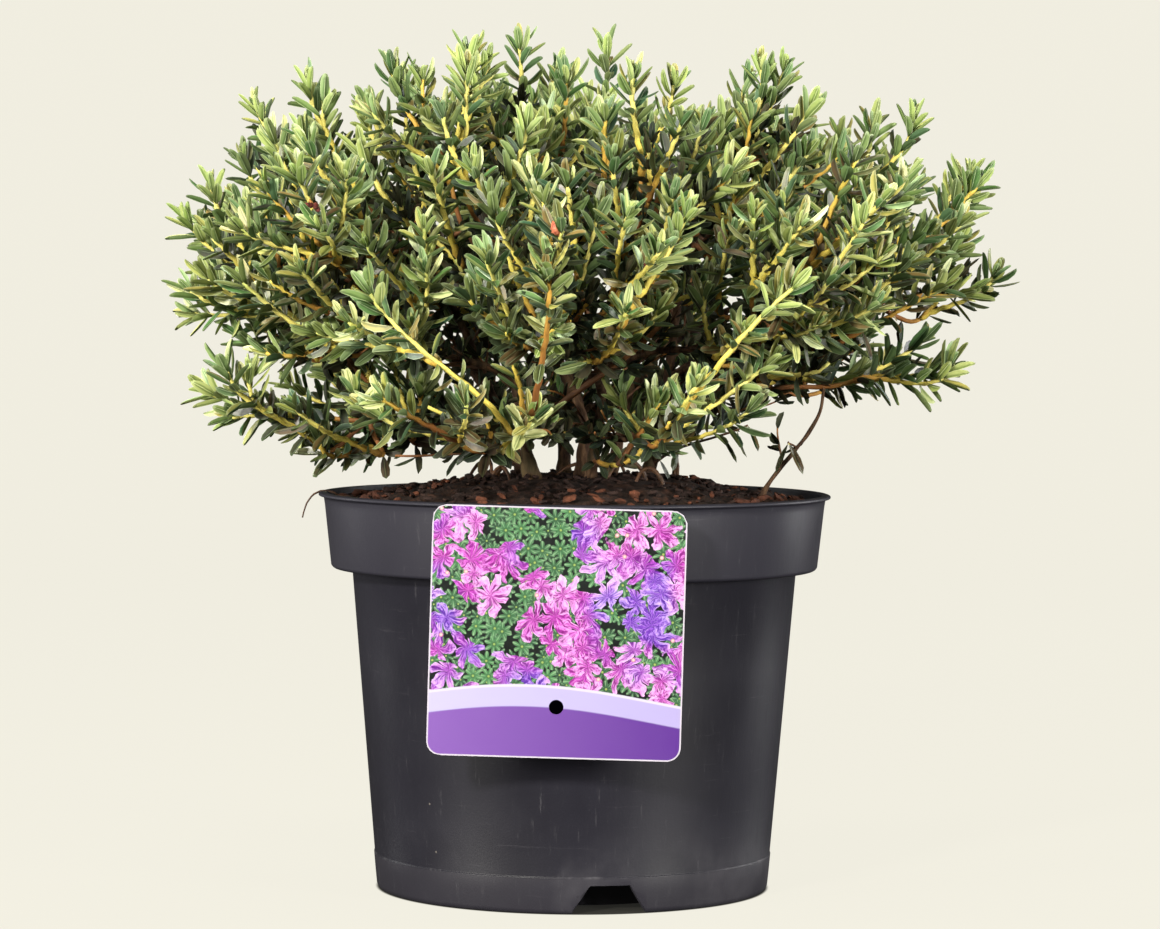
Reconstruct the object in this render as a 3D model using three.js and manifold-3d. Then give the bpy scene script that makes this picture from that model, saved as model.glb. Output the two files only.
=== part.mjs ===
// Dwarf rhododendron in a round nursery pot: a low, wide cup of foliage on short woody stems.
// Millimetres, +Z up, the front towards -Y. The origin is on the pot's axis, at its flat underside.
import * as THREE from "three";
import { mergeVertices } from "three/addons/utils/BufferGeometryUtils.js";
import Module from "manifold-3d";

const wasm = await Module();
wasm.setup();

// ---------------------------------------------------------------- driving dimensions

const GAP = 0.3; // clearance between pieces that touch on the real plant

const POT = {
  segments: 36,
  height: 131.5,
  wall: 1.4,
  footRadius: 65.3,
  footHeight: 11.7, // plain band round the foot
  footStep: 0.4, // how far that band stands proud of the wall
  shoulderRadius: 74.0, // top of the wall, under the collar
  collarBottom: 106.5,
  collarRadius: 81.0, // lower edge of the collar
  collarTopRadius: 83.6,
  lipRadius: 85.3,
  lipHeight: 2.2,
  lipRound: 0.8,
  footRing: 2.0, // thickness of the ring round the foot
  footChamfer: [0.7, 1.2], // across and up
  padRadius: 46.0, // flat pad that the pot stands on, inside the foot ring
  channelHeight: 9.4, // drain channel between pad and foot ring
  draft: 2.0, // how far the channel's inner side leans
  floor: 2.0,
};

// Notches through the foot ring let the drain channel out. Inner and outer are their reach.
const NOTCH = {
  count: 3,
  azimuth: -79.2,
  height: 9.2,
  topWidth: 12.9,
  footWidth: 24.6,
  inner: 61,
  outer: 69,
};
const DRAIN = { radius: 3.2, ring: 54.5, sides: 6 };

const SOIL = {
  segments: 18,
  plateauRadius: 31, // level ground that the stems stand on
  plateauHeight: 136.2,
  edgeHeight: 127.4,
  slopeRings: 3,
  slopeMargin: 4, // smooth ground at the top and the bottom of the slope
  roughness: 1.1,
  lumps: 0.16, // lump frequency, radians per millimetre
  seed: 5,
};

const CARD_CURVE_SEGMENTS = 3; // to each quarter turn of the card's corners

const LABEL = {
  width: 79.6,
  height: 78.6,
  thickness: 0.8,
  cornerRadius: 4.4,
  holeRadius: 2.3,
  centre: [-5.2, 91.6], // x and z
  hole: [0.5, -23.2], // from the centre of the label
  turn: 1.3, // degrees, top edge to the left
};

// Foliage stands in tiers round the axis. Half sizes are across the shoots (radial and tangential)
// and along them. Lean is the shoots' slope from the vertical. Reach scales each mass in its turn.
const TIERS = [
  {
    name: "foliage_top",
    ring: 15,
    azimuths: [-165],
    height: 241,
    half: [34, 35, 38],
    lean: 4,
    reach: [1.0],
    lift: [0],
  },
  {
    name: "foliage_upper",
    ring: 60,
    azimuths: [-4, 42, 90, 172, 229, 292],
    height: 232,
    half: [31, 35, 40],
    lean: 20,
    reach: [0.94, 0.98, 0.98, 1.12, 1.0, 0.98],
    lift: [8, 3, 3, 2, 3, -3],
  },
  {
    name: "foliage_shoulder",
    ring: 102,
    azimuths: [0, 37, 77, 116, 151, 187, 222, 268, 318],
    height: 206,
    half: [26, 36, 41],
    lean: 52,
    reach: [1.01, 1.05, 0.96, 0.98, 0.99, 0.96, 0.98, 0.97, 0.99],
    lift: [0, 19, 2, 0, 16, -5, 4, 0, 2],
  },
  {
    name: "foliage_skirt",
    ring: 83,
    azimuths: [-22, 28, 84, 140, 198, 246, 292],
    height: 169,
    half: [20, 36, 40],
    lean: 77,
    reach: [1.05, 1.0, 0.95, 0.98, 1.05, 1.0, 0.94],
    lift: [12, 10, 1, 0, -2, -6, -6],
  },
];

// The shoots that stand furthest out of their masses, by the place of their tips.
const LONG_SHOOTS = {
  foliage_top: [-19, -5, 287],
  foliage_upper_1: [64, -4, 281],
  foliage_upper_3: [11, 56, 288],
  foliage_upper_4: [-89, 8, 273],
  foliage_upper_5: [-60, -40, 275],
  foliage_shoulder_1: [145, 0, 207],
  foliage_shoulder_2: [116, 60, 263],
  foliage_shoulder_5: [-113, 48, 264],
  foliage_shoulder_6: [-137, -13, 193],
  foliage_skirt_1: [126, -30, 173],
  foliage_skirt_5: [-126, -27, 166],
};

const MASS = {
  detail: 2, // icosahedron subdivision
  swell: 0.09, // slow unevenness, as a share of the radius
  swellFrequency: 2.6,
  tuft: 0.2, // how far a shoot tip stands out, as a share of the radius
  tuftShare: 0.36, // share of the outer points that are shoot tips
  tuftStart: [-0.3, 0.5], // shoot tips begin and are full at these cosines from the mass's axis
  leastShare: 0.3, // least share of the way to a neighbour that a mass keeps
  socketDepth: 8, // how deep a limb enters
};

const STEM = {
  sides: 6,
  steps: 6,
  flareLength: 5,
  flare: 0.55, // extra foot radius, as a share of the stem's
  tipRadius: 1.3,
  wobble: 1.3,
  rise: 0.34, // pull of the curve's ends, as a share of the stem's height
  spread: 0.14, // outward pull at the foot, as a share of the height
  inward: 0.25, // how far a stem comes in from the axis side of its mass
};

// Foot radius, and the foot's distance and azimuth round the axis, in the order of the masses
// that the stems carry: the top mass and then the upper tier.
const STEMS = [
  { name: "stem_main", radius: 2.9, ring: 5, azimuth: -50 },
  { name: "stem_right", radius: 2.0, ring: 24, azimuth: -8 },
  { name: "stem_back_right", radius: 1.9, ring: 15, azimuth: 40 },
  { name: "stem_back", radius: 2.1, ring: 21, azimuth: 100 },
  { name: "stem_left", radius: 2.0, ring: 17, azimuth: 170 },
  { name: "stem_front_left", radius: 2.3, ring: 25, azimuth: 236 },
  { name: "stem_front_right", radius: 1.9, ring: 14, azimuth: 290 },
];

const BOUGH = {
  sides: 6,
  steps: 5,
  rootRadius: 1.6,
  tipRadius: 0.95,
  wobble: 1.6,
  pull: [0.35, 0.3], // pull of the curve's two ends, as a share of its length
  follow: 0.5, // how far it leaves along its stem
  drop: 0.15, // how far it comes in from below its mass's axis
};

const TAPER = 0.85; // exponent of a limb's taper along its length
const WOBBLE_FREQUENCY = 0.11; // radians per millimetre

// Where along its stem each bough springs, lowest tier lowest, and how much further up the stem
// the next bough of that tier springs.
const SPRING = { foliage_shoulder: 0.42, foliage_skirt: 0.18, step: 0.11 };

// A thin sucker that rises from the soil by the rim, away from the others.
const SUCKER = { name: "stem_sucker", radius: 0.9, ring: 66, azimuth: -25, tipRadius: 0.6, upright: true };

const SEEDS = { stems: 11, sucker: 31, boughs: 41 };

const COLOURS = {
  pot: { color: 0x3a3a40, roughness: 0.45 },
  soil: { color: 0x2e1d14, roughness: 0.95 },
  label: { color: 0xa04cae, roughness: 0.35 },
  bark: { color: 0x5a4030, roughness: 0.85 },
  foliage: [0x6f8a4c, 0x7d9656, 0x5d7d4d, 0x8aa060],
};

// ---------------------------------------------------------------- small helpers

const radians = THREE.MathUtils.degToRad;
const UP = new THREE.Vector3(0, 0, 1);

/** Seeded random numbers from 0 to 1. */
function randomSource(seed) {
  let state = seed >>> 0;
  return () => {
    state = (state + 0x6d2b79f5) >>> 0;
    let t = state;
    t = Math.imul(t ^ (t >>> 15), t | 1);
    t ^= t + Math.imul(t ^ (t >>> 7), t | 61);
    return ((t ^ (t >>> 14)) >>> 0) / 4294967296;
  };
}

/** Smooth noise from about -1 to 1: a sum of sine waves in seeded directions. */
function waveNoise(seed, frequency, waves = 5) {
  const random = randomSource(seed);
  const parts = Array.from({ length: waves }, () => {
    const direction = new THREE.Vector3(random() - 0.5, random() - 0.5, random() - 0.5);
    direction.setLength(frequency * (0.7 + 0.6 * random()));
    return { direction, phase: 2 * Math.PI * random() };
  });
  const valueOf = (wave, point) => Math.sin(wave.direction.dot(point) + wave.phase);
  return (point) => parts.reduce((sum, wave) => sum + valueOf(wave, point), 0) / Math.sqrt(2 * waves);
}

/** A point given by its distance from the axis, its azimuth in degrees and its height. */
function polar(ring, azimuth, height) {
  return new THREE.Vector3(ring * Math.cos(radians(azimuth)), ring * Math.sin(radians(azimuth)), height);
}

/** The closed solid of a geometry, for joins and cuts. */
function solidOf(geometry) {
  const bare = geometry.index ? geometry.toNonIndexed() : geometry.clone();
  bare.deleteAttribute("normal");
  bare.deleteAttribute("uv");
  const merged = mergeVertices(bare, 1e-3);
  return new wasm.Manifold(
    new wasm.Mesh({
      numProp: 3,
      vertProperties: merged.getAttribute("position").array,
      triVerts: new Uint32Array(merged.index.array),
    }),
  );
}

/** The geometry of a solid, flat shaded. */
function geometryOf(solid) {
  const mesh = solid.getMesh();
  const geometry = new THREE.BufferGeometry();
  geometry.setAttribute("position", new THREE.BufferAttribute(new Float32Array(mesh.vertProperties), 3));
  geometry.setIndex(new THREE.BufferAttribute(new Uint32Array(mesh.triVerts), 1));
  const flat = geometry.toNonIndexed();
  flat.computeVertexNormals();
  return flat;
}

/** The biggest body of a solid, without the crumbs that a cut may leave. */
function largestBody(solid) {
  return solid.decompose().reduce((best, body) => (body.volume() > best.volume() ? body : best));
}

function meshOf(name, geometry, { color, roughness }) {
  const mesh = new THREE.Mesh(geometry, new THREE.MeshStandardMaterial({ color, roughness, metalness: 0 }));
  mesh.name = name;
  return mesh;
}

/** A lathe turned upright: its profile is pairs of radius and height. */
function turned(profile, segments) {
  const points = profile.map(([radius, height]) => new THREE.Vector2(radius, height));
  return new THREE.LatheGeometry(points, segments).rotateX(Math.PI / 2);
}

// ---------------------------------------------------------------- pot

/** Outer radius of the tapered wall at a height. */
function wallRadius(height) {
  const footRadius = POT.footRadius - POT.footStep;
  return THREE.MathUtils.mapLinear(height, 0, POT.collarBottom, footRadius, POT.shoulderRadius);
}

/** Inner side of the pot from the collar down to the floor's middle, drawn in by a clearance. */
function potInside(clearance) {
  const side = POT.wall + clearance;
  const ledge = POT.collarBottom + POT.wall + clearance;
  const channelTop = POT.channelHeight + POT.floor + clearance;
  return [
    [POT.collarTopRadius - side, POT.height - POT.lipHeight],
    [POT.collarRadius - side, ledge],
    [POT.shoulderRadius - side, ledge],
    [wallRadius(channelTop) - side, channelTop],
    [POT.padRadius + POT.draft - side, channelTop],
    [POT.padRadius - side, POT.floor + clearance],
    [0, POT.floor + clearance],
  ];
}

/** The pot's section, from the middle of its underside out, up, over the lip and back inside. */
function potProfile() {
  const footTop = wallRadius(POT.footHeight);
  const [chamferAcross, chamferUp] = POT.footChamfer;
  const lipBottom = POT.height - POT.lipHeight;
  return [
    [0, 0],
    [POT.padRadius, 0],
    [POT.padRadius + POT.draft, POT.channelHeight],
    [POT.footRadius - POT.footRing - chamferAcross, POT.channelHeight],
    [POT.footRadius - POT.footRing, 0],
    [POT.footRadius - chamferAcross, 0],
    [POT.footRadius, chamferUp],
    [footTop + POT.footStep, POT.footHeight],
    [footTop, POT.footHeight + 2 * POT.footStep],
    [POT.shoulderRadius, POT.collarBottom],
    [POT.collarRadius - POT.lipRound, POT.collarBottom],
    [POT.collarRadius, POT.collarBottom + POT.lipRound],
    [POT.collarTopRadius, lipBottom],
    [POT.lipRadius, lipBottom + POT.lipRound / 2],
    [POT.lipRadius, POT.height - POT.lipRound / 2],
    [POT.lipRadius - POT.lipRound, POT.height],
    [POT.collarTopRadius - POT.wall, POT.height],
    ...potInside(0),
  ];
}

/** A prism under the foot ring: a trapezoid seen from outside, running inwards. */
function notchTool(azimuth) {
  const below = NOTCH.height / 8;
  const shape = new THREE.Shape([
    new THREE.Vector2(-NOTCH.footWidth / 2, -below),
    new THREE.Vector2(NOTCH.footWidth / 2, -below),
    new THREE.Vector2(NOTCH.topWidth / 2, NOTCH.height),
    new THREE.Vector2(-NOTCH.topWidth / 2, NOTCH.height),
  ]);
  const depth = NOTCH.outer - NOTCH.inner;
  const prism = new THREE.ExtrudeGeometry(shape, { depth, bevelEnabled: false });
  prism.rotateX(Math.PI / 2);
  prism.translate(0, -NOTCH.inner, 0);
  return prism.rotateZ(radians(azimuth + 90));
}

/** A drain hole through the ceiling of the channel. */
function drainTool(azimuth) {
  const hole = new THREE.CylinderGeometry(DRAIN.radius, DRAIN.radius, 3 * POT.floor, DRAIN.sides);
  hole.rotateX(Math.PI / 2);
  const centre = polar(DRAIN.ring, azimuth, POT.channelHeight + POT.floor / 2);
  return hole.translate(centre.x, centre.y, centre.z);
}

function makePot() {
  let pot = solidOf(turned(potProfile(), POT.segments));
  for (let i = 0; i < NOTCH.count; i++) {
    const azimuth = NOTCH.azimuth + (360 / NOTCH.count) * i;
    pot = pot.subtract(solidOf(notchTool(azimuth))).subtract(solidOf(drainTool(azimuth)));
  }
  return meshOf("pot", geometryOf(pot), COLOURS.pot);
}

// ---------------------------------------------------------------- soil

/** Compost with level ground in the middle, lumpy slopes and a low edge against the collar. */
function makeSoil() {
  const inside = potInside(GAP);
  const [[topRadius, topHeight], [ledgeRadius, ledgeHeight]] = inside;
  const { mapLinear, lerp } = THREE.MathUtils;
  const edgeRadius = mapLinear(SOIL.edgeHeight, ledgeHeight, topHeight, ledgeRadius, topRadius);
  const slope = Array.from({ length: SOIL.slopeRings }, (_, i) => {
    const share = (i + 1) / (SOIL.slopeRings + 1);
    return [
      lerp(SOIL.plateauRadius + SOIL.slopeMargin, edgeRadius - SOIL.slopeMargin, share),
      lerp(SOIL.plateauHeight, SOIL.edgeHeight, share),
    ];
  });
  const profile = [
    [0, SOIL.plateauHeight],
    [SOIL.plateauRadius, SOIL.plateauHeight],
    ...slope,
    [edgeRadius, SOIL.edgeHeight],
    ...inside.slice(1),
  ].reverse();
  const geometry = turned(profile, SOIL.segments);
  const noise = waveNoise(SOIL.seed, SOIL.lumps);
  const position = geometry.getAttribute("position");
  const point = new THREE.Vector3();
  for (let i = 0; i < position.count; i++) {
    point.fromBufferAttribute(position, i);
    const ring = Math.hypot(point.x, point.y);
    const onSlope = ring > SOIL.plateauRadius + 1 && ring < edgeRadius - 1;
    if (onSlope && point.z > SOIL.edgeHeight) position.setZ(i, point.z + SOIL.roughness * noise(point));
  }
  return meshOf("soil", geometryOf(solidOf(geometry)), COLOURS.soil);
}

/** Height of the soil's surface under a point. */
function groundUnder(soil, x, y) {
  const ray = new THREE.Raycaster(new THREE.Vector3(x, y, 2 * POT.height), UP.clone().negate());
  return ray.intersectObject(soil)[0].point.z;
}

// ---------------------------------------------------------------- label

/** A rectangle with round corners, centred on the origin. */
function roundedRectangle(width, height, radius) {
  const shape = new THREE.Shape();
  const [x, y] = [width / 2 - radius, height / 2 - radius];
  const corners = [
    [x, -y, -90],
    [x, y, 0],
    [-x, y, 90],
    [-x, -y, 180],
  ];
  corners.forEach(([cx, cy, start]) =>
    shape.absarc(cx, cy, radius, radians(start), radians(start + 90), false),
  );
  shape.closePath();
  return shape;
}

/** A printed card that hangs against the lip, with its hanging hole. */
function makeLabel() {
  const shape = roundedRectangle(LABEL.width, LABEL.height, LABEL.cornerRadius);
  const hole = new THREE.Path();
  hole.absarc(LABEL.hole[0], LABEL.hole[1], LABEL.holeRadius, 0, 2 * Math.PI, true);
  shape.holes.push(hole);
  const card = new THREE.ExtrudeGeometry(shape, {
    depth: LABEL.thickness,
    bevelEnabled: false,
    curveSegments: CARD_CURVE_SEGMENTS,
  });
  card.rotateZ(radians(LABEL.turn)).rotateX(Math.PI / 2);
  const label = meshOf("label", geometryOf(solidOf(card)), COLOURS.label);
  label.position.set(LABEL.centre[0], -(POT.lipRadius + GAP), LABEL.centre[1]);
  return label;
}

// ---------------------------------------------------------------- foliage shapes

/** Every mass as its centre, its three axes and its half sizes along them. */
function planMasses() {
  return TIERS.flatMap((tier, tierIndex) =>
    tier.azimuths.map((azimuth, i) => {
      const scale = tier.reach[i];
      const lean = radians(tier.lean);
      const outward = polar(1, azimuth, 0);
      const along = outward.clone().multiplyScalar(Math.sin(lean)).addScaledVector(UP, Math.cos(lean));
      const across = new THREE.Vector3(-outward.y, outward.x, 0);
      return {
        name: tier.azimuths.length > 1 ? `${tier.name}_${i + 1}` : tier.name,
        tier: tier.name,
        azimuth,
        centre: polar(tier.ring * scale, azimuth, tier.height + tier.lift[i]),
        axes: [new THREE.Vector3().crossVectors(across, along), across, along],
        half: tier.half.map((size) => size * scale),
        seed: 100 * (tierIndex + 1) + i,
        limits: [],
      };
    }),
  );
}

/** Distance from a mass's centre to its plain ellipsoid in a direction. */
function ellipsoidRadius(mass, direction) {
  const squares = mass.axes.map((axis, i) => (direction.dot(axis) / mass.half[i]) ** 2);
  return 1 / Math.sqrt(squares[0] + squares[1] + squares[2]);
}

/** Each pair of masses shares a plane between them, and each keeps to its own side of it. */
function shareSpace(masses) {
  masses.forEach((one, i) =>
    masses.slice(i + 1).forEach((other) => {
      const way = other.centre.clone().sub(one.centre);
      const distance = way.length();
      way.normalize();
      const reach = ellipsoidRadius(one, way);
      const otherReach = ellipsoidRadius(other, way);
      const plane = distance / 2 + (reach ** 2 - otherReach ** 2) / (2 * distance);
      const least = MASS.leastShare * distance;
      const own = THREE.MathUtils.clamp(plane, least, distance - least);
      one.limits.push({ way, distance: own - GAP / 2 });
      other.limits.push({ way: way.clone().negate(), distance: distance - own - GAP / 2 });
    }),
  );
}

/** Cuts a radius back to the planes that a mass keeps to. */
function keptRadius(mass, direction, radius) {
  return mass.limits.reduce((kept, limit) => {
    const slope = direction.dot(limit.way);
    return slope > 1e-6 ? Math.min(kept, limit.distance / slope) : kept;
  }, radius);
}

/** A lumpy ellipsoid whose outer points stand out as shoot tips. */
function massGeometry(mass) {
  const sphere = new THREE.IcosahedronGeometry(1, MASS.detail);
  sphere.deleteAttribute("normal");
  sphere.deleteAttribute("uv");
  const geometry = mergeVertices(sphere, 1e-4);
  const swell = waveNoise(mass.seed, MASS.swellFrequency);
  const random = randomSource(mass.seed);
  const spin = new THREE.Quaternion().setFromAxisAngle(mass.axes[2], 2 * Math.PI * random());
  const position = geometry.getAttribute("position");
  const direction = new THREE.Vector3();
  for (let i = 0; i < position.count; i++) {
    direction.fromBufferAttribute(position, i).applyQuaternion(spin);
    const outer = THREE.MathUtils.smoothstep(direction.dot(mass.axes[2]), ...MASS.tuftStart);
    const tuft = random() < MASS.tuftShare ? MASS.tuft * (0.7 + 0.6 * random()) * outer : 0;
    const radius = ellipsoidRadius(mass, direction) * (1 + MASS.swell * swell(direction) + tuft);
    direction.multiplyScalar(keptRadius(mass, direction, radius)).add(mass.centre);
    position.setXYZ(i, direction.x, direction.y, direction.z);
  }
  if (mass.name in LONG_SHOOTS) drawOut(geometry, mass, new THREE.Vector3(...LONG_SHOOTS[mass.name]));
  return geometry;
}

/** Draws the point of a mass that lies nearest to a shoot's line out to the shoot's tip. */
function drawOut(geometry, mass, tip) {
  const way = tip.clone().sub(mass.centre);
  const length = way.length();
  way.normalize();
  const position = geometry.getAttribute("position");
  const point = new THREE.Vector3();
  let [nearest, best] = [0, -Infinity];
  for (let i = 0; i < position.count; i++) {
    const along = point.fromBufferAttribute(position, i).sub(mass.centre).normalize().dot(way);
    if (along > best) [nearest, best] = [i, along];
  }
  way.multiplyScalar(keptRadius(mass, way, length)).add(mass.centre);
  position.setXYZ(nearest, way.x, way.y, way.z);
}

// ---------------------------------------------------------------- limbs

/** The point where a limb ends, a little inside its mass, when it comes from a direction. */
function entryPoint(mass, from) {
  const radius = keptRadius(mass, from, ellipsoidRadius(mass, from));
  return mass.centre.clone().addScaledVector(from, radius - MASS.socketDepth);
}

/**
 * A tapering limb along a curve, closed at both ends. Its sides stand off the true surface by
 * grow, which gives the bore that it needs in its neighbours.
 */
function limbGeometry(limb, grow = 0) {
  const { curve, sides, steps, radiusAt, wobble, seed } = limb;
  const frames = curve.computeFrenetFrames(steps, false);
  const noise = waveNoise(seed, WOBBLE_FREQUENCY);
  const positions = [];
  for (let i = 0; i <= steps; i++) {
    const share = i / steps;
    const centre = curve.getPointAt(share);
    const drift = wobble * Math.sin(Math.PI * share) * noise(centre);
    centre.addScaledVector(frames.binormals[i], drift);
    if (i === steps) centre.addScaledVector(frames.tangents[i], grow);
    const radius = radiusAt(share) + grow;
    for (let k = 0; k < sides; k++) {
      const angle = (2 * Math.PI * k) / sides;
      const point = centre
        .clone()
        .addScaledVector(frames.normals[i], radius * Math.cos(angle))
        .addScaledVector(frames.binormals[i], radius * Math.sin(angle));
      if (i === 0 && limb.ground !== undefined) point.z = limb.ground - grow;
      positions.push(point.x, point.y, point.z);
    }
  }
  const indices = [];
  for (let i = 0; i < steps; i++) {
    for (let k = 0; k < sides; k++) {
      const [a, b] = [i * sides + k, i * sides + ((k + 1) % sides)];
      indices.push(a, b, b + sides, a, b + sides, a + sides);
    }
  }
  const last = steps * sides;
  for (let k = 1; k < sides - 1; k++) {
    indices.push(0, k + 1, k, last, last + k, last + k + 1);
  }
  const geometry = new THREE.BufferGeometry();
  geometry.setAttribute("position", new THREE.Float32BufferAttribute(positions, 3));
  geometry.setIndex(indices);
  return geometry;
}

/** A stem from level ground up into a mass, with a flared foot and a true taper. */
function planStem(spec, mass, soil, seed) {
  const outward = polar(1, spec.azimuth, 0);
  const base = outward.clone().multiplyScalar(spec.ring);
  base.z = groundUnder(soil, base.x, base.y) + GAP;
  const inward = mass.axes[2].clone().addScaledVector(outward, STEM.inward).normalize().negate();
  const from = spec.upright ? UP.clone().negate() : inward;
  const end = entryPoint(mass, from);
  const height = end.z - base.z;
  const curve = new THREE.CubicBezierCurve3(
    base,
    base.clone().addScaledVector(UP, STEM.rise * height).addScaledVector(outward, STEM.spread * height),
    end.clone().addScaledVector(from, STEM.rise * height),
    end,
  );
  const tipRadius = spec.tipRadius ?? STEM.tipRadius;
  const length = curve.getLength();
  return {
    name: spec.name,
    curve,
    seed,
    ground: base.z,
    sides: STEM.sides,
    steps: STEM.steps,
    wobble: STEM.wobble,
    azimuth: spec.azimuth,
    boughs: [],
    radiusAt: (share) =>
      THREE.MathUtils.lerp(spec.radius, tipRadius, share ** TAPER) +
      STEM.flare * spec.radius * Math.exp((-share * length) / STEM.flareLength),
  };
}

/** The stem whose azimuth is nearest to a mass's. */
function nearestStem(stems, mass) {
  const apart = (stem) => Math.abs(((stem.azimuth - mass.azimuth + 540) % 360) - 180);
  return stems.reduce((best, stem) => (apart(stem) < apart(best) ? stem : best));
}

/** A bough from a point on its stem out to a mass. */
function planBough(mass, stem, seed) {
  const below = stem.boughs.filter((tier) => tier === mass.tier).length;
  const spring = SPRING[mass.tier] + SPRING.step * below;
  stem.boughs.push(mass.tier);
  const start = stem.curve.getPointAt(spring);
  const from = mass.axes[2].clone().addScaledVector(UP, BOUGH.drop).normalize().negate();
  const end = entryPoint(mass, from);
  const distance = start.distanceTo(end);
  const leave = end.clone().sub(start).normalize();
  leave.addScaledVector(stem.curve.getTangentAt(spring), BOUGH.follow).normalize();
  return {
    name: mass.name.replace("foliage", "bough"),
    curve: new THREE.CubicBezierCurve3(
      start,
      start.clone().addScaledVector(leave, BOUGH.pull[0] * distance),
      end.clone().addScaledVector(from, BOUGH.pull[1] * distance),
      end,
    ),
    seed,
    stem,
    sides: BOUGH.sides,
    steps: BOUGH.steps,
    wobble: BOUGH.wobble,
    radiusAt: (share) => THREE.MathUtils.lerp(BOUGH.rootRadius, BOUGH.tipRadius, share ** TAPER),
  };
}

// ---------------------------------------------------------------- assembly

/** All limbs of the plant: the stems, the sucker and a bough for each mass that no stem carries. */
function planLimbs(masses, soil) {
  const carried = masses.filter((mass) => !(mass.tier in SPRING));
  const others = masses.filter((mass) => mass.tier in SPRING);
  const stems = STEMS.map((spec, i) => planStem(spec, carried[i], soil, SEEDS.stems + i));
  const lowMass = masses.find((mass) => mass.tier === "foliage_skirt");
  const sucker = planStem(SUCKER, lowMass, soil, SEEDS.sucker);
  const outerStems = stems.slice(1);
  const boughs = others.map((mass, i) => planBough(mass, nearestStem(outerStems, mass), SEEDS.boughs + i));
  return [...stems, sucker, ...boughs];
}

function makePlant(soil) {
  const masses = planMasses();
  shareSpace(masses);
  const limbs = planLimbs(masses, soil);
  const bores = new Map(limbs.map((limb) => [limb, solidOf(limbGeometry(limb, GAP))]));
  const limbMeshes = limbs.map((limb) => {
    const whole = solidOf(limbGeometry(limb));
    const solid = limb.stem ? largestBody(whole.subtract(bores.get(limb.stem))) : whole;
    return meshOf(limb.name, geometryOf(solid), COLOURS.bark);
  });
  const massMeshes = masses.map((mass, i) => {
    const whole = solidOf(massGeometry(mass));
    const bored = [...bores.values()].reduce((solid, bore) => solid.subtract(bore), whole);
    const color = COLOURS.foliage[i % COLOURS.foliage.length];
    return meshOf(mass.name, geometryOf(largestBody(bored)), { color, roughness: 0.7 });
  });
  return [...limbMeshes, ...massMeshes];
}

const rhododendron = new THREE.Group();
const soil = makeSoil();
rhododendron.add(makePot(), soil, makeLabel(), ...makePlant(soil));

export default rhododendron;
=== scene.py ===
"""Looks of a small-leaved evergreen rhododendron in its nursery pot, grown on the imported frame.

Sizes and places on the plant are in millimetres, and make_piece turns them into metres.
"""

import math

import bpy
import numpy as np
from mathutils import Matrix, Vector
from mathutils.bvhtree import BVHTree


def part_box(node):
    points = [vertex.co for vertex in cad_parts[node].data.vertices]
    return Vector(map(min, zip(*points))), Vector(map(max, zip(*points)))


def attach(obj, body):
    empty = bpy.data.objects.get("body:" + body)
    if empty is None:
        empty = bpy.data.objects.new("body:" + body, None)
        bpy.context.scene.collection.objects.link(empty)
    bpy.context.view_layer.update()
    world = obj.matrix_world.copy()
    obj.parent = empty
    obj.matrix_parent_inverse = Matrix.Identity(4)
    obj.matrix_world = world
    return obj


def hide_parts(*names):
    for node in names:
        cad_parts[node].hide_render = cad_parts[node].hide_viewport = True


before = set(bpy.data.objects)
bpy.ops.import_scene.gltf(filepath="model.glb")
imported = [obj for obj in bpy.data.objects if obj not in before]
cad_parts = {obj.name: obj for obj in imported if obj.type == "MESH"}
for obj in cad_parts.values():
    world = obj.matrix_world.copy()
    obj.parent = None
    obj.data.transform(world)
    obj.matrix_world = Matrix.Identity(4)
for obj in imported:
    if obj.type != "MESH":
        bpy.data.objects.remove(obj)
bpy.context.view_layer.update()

MM = 0.001
UP = np.array([0.0, 0.0, 1.0])
GOLDEN_ANGLE = math.radians(137.508)

# ---------------------------------------------------------------- named sizes

POT = dict(
    height=131.5, wall=1.4, floor=2.0, pad_radius=46.0, channel_height=9.4, channel_draft=2.0,
    foot_radius=65.3, foot_height=11.7, foot_step=0.25, foot_ring=2.0, foot_chamfer=0.7,
    shoulder_radius=74.0, collar_bottom=106.5, collar_radius=81.0, collar_top_radius=83.6,
    lip_radius=85.3, lip_height=1.5,
)
# The notches in the pot's foot ring, the first one at an azimuth in degrees.
NOTCH = dict(count=3, azimuth=-79.2, height=9.2, top_width=12.9, foot_width=24.6)
SOIL = dict(plateau_radius=31.0, plateau_height=136.2, edge_height=127.4, underside=108.2)
# The card: its border and round corners, the hole's place from its middle, its turn in degrees.
LABEL = dict(
    width=79.6, height=78.6, thickness=0.8, corner=4.4, border=0.45, hole_radius=2.3,
    hole=(0.5, -23.2), turn=1.3,
)

FAN = np.array([0.0, 0.0, 108.0])  # the point on the plant's axis that shoots fan out from
EYE = np.array([1.7, -1322.0, 194.0])  # where the plant is looked at from, in front of it
# The camera: focal length and frame width in pixels, sensor in mm, tilt and roll in degrees.
CAMERA = dict(focal=3966, frame=1160, sensor=36.0, down=2.3, roll=0.4)
LEAF_ATLAS = (8, 4)  # columns and rows of tint cells that every leaf is laid on
TINTS = LEAF_ATLAS[0] * LEAF_ATLAS[1] // 2

# The masses of each tier: how far apart the shoot tips stand, how many more grow inside, and
# how far a surface may face down and still bear shoots, as the height of its normal.
TIERS = {
    "top": dict(spacing=17.2, inner=8, lowest_normal=-0.9),
    "upper": dict(spacing=17.2, inner=7, lowest_normal=-0.9),
    "shoulder": dict(spacing=17.2, inner=5, lowest_normal=-0.75),
    "skirt": dict(spacing=18.0, inner=1, lowest_normal=-0.2),
}
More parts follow.
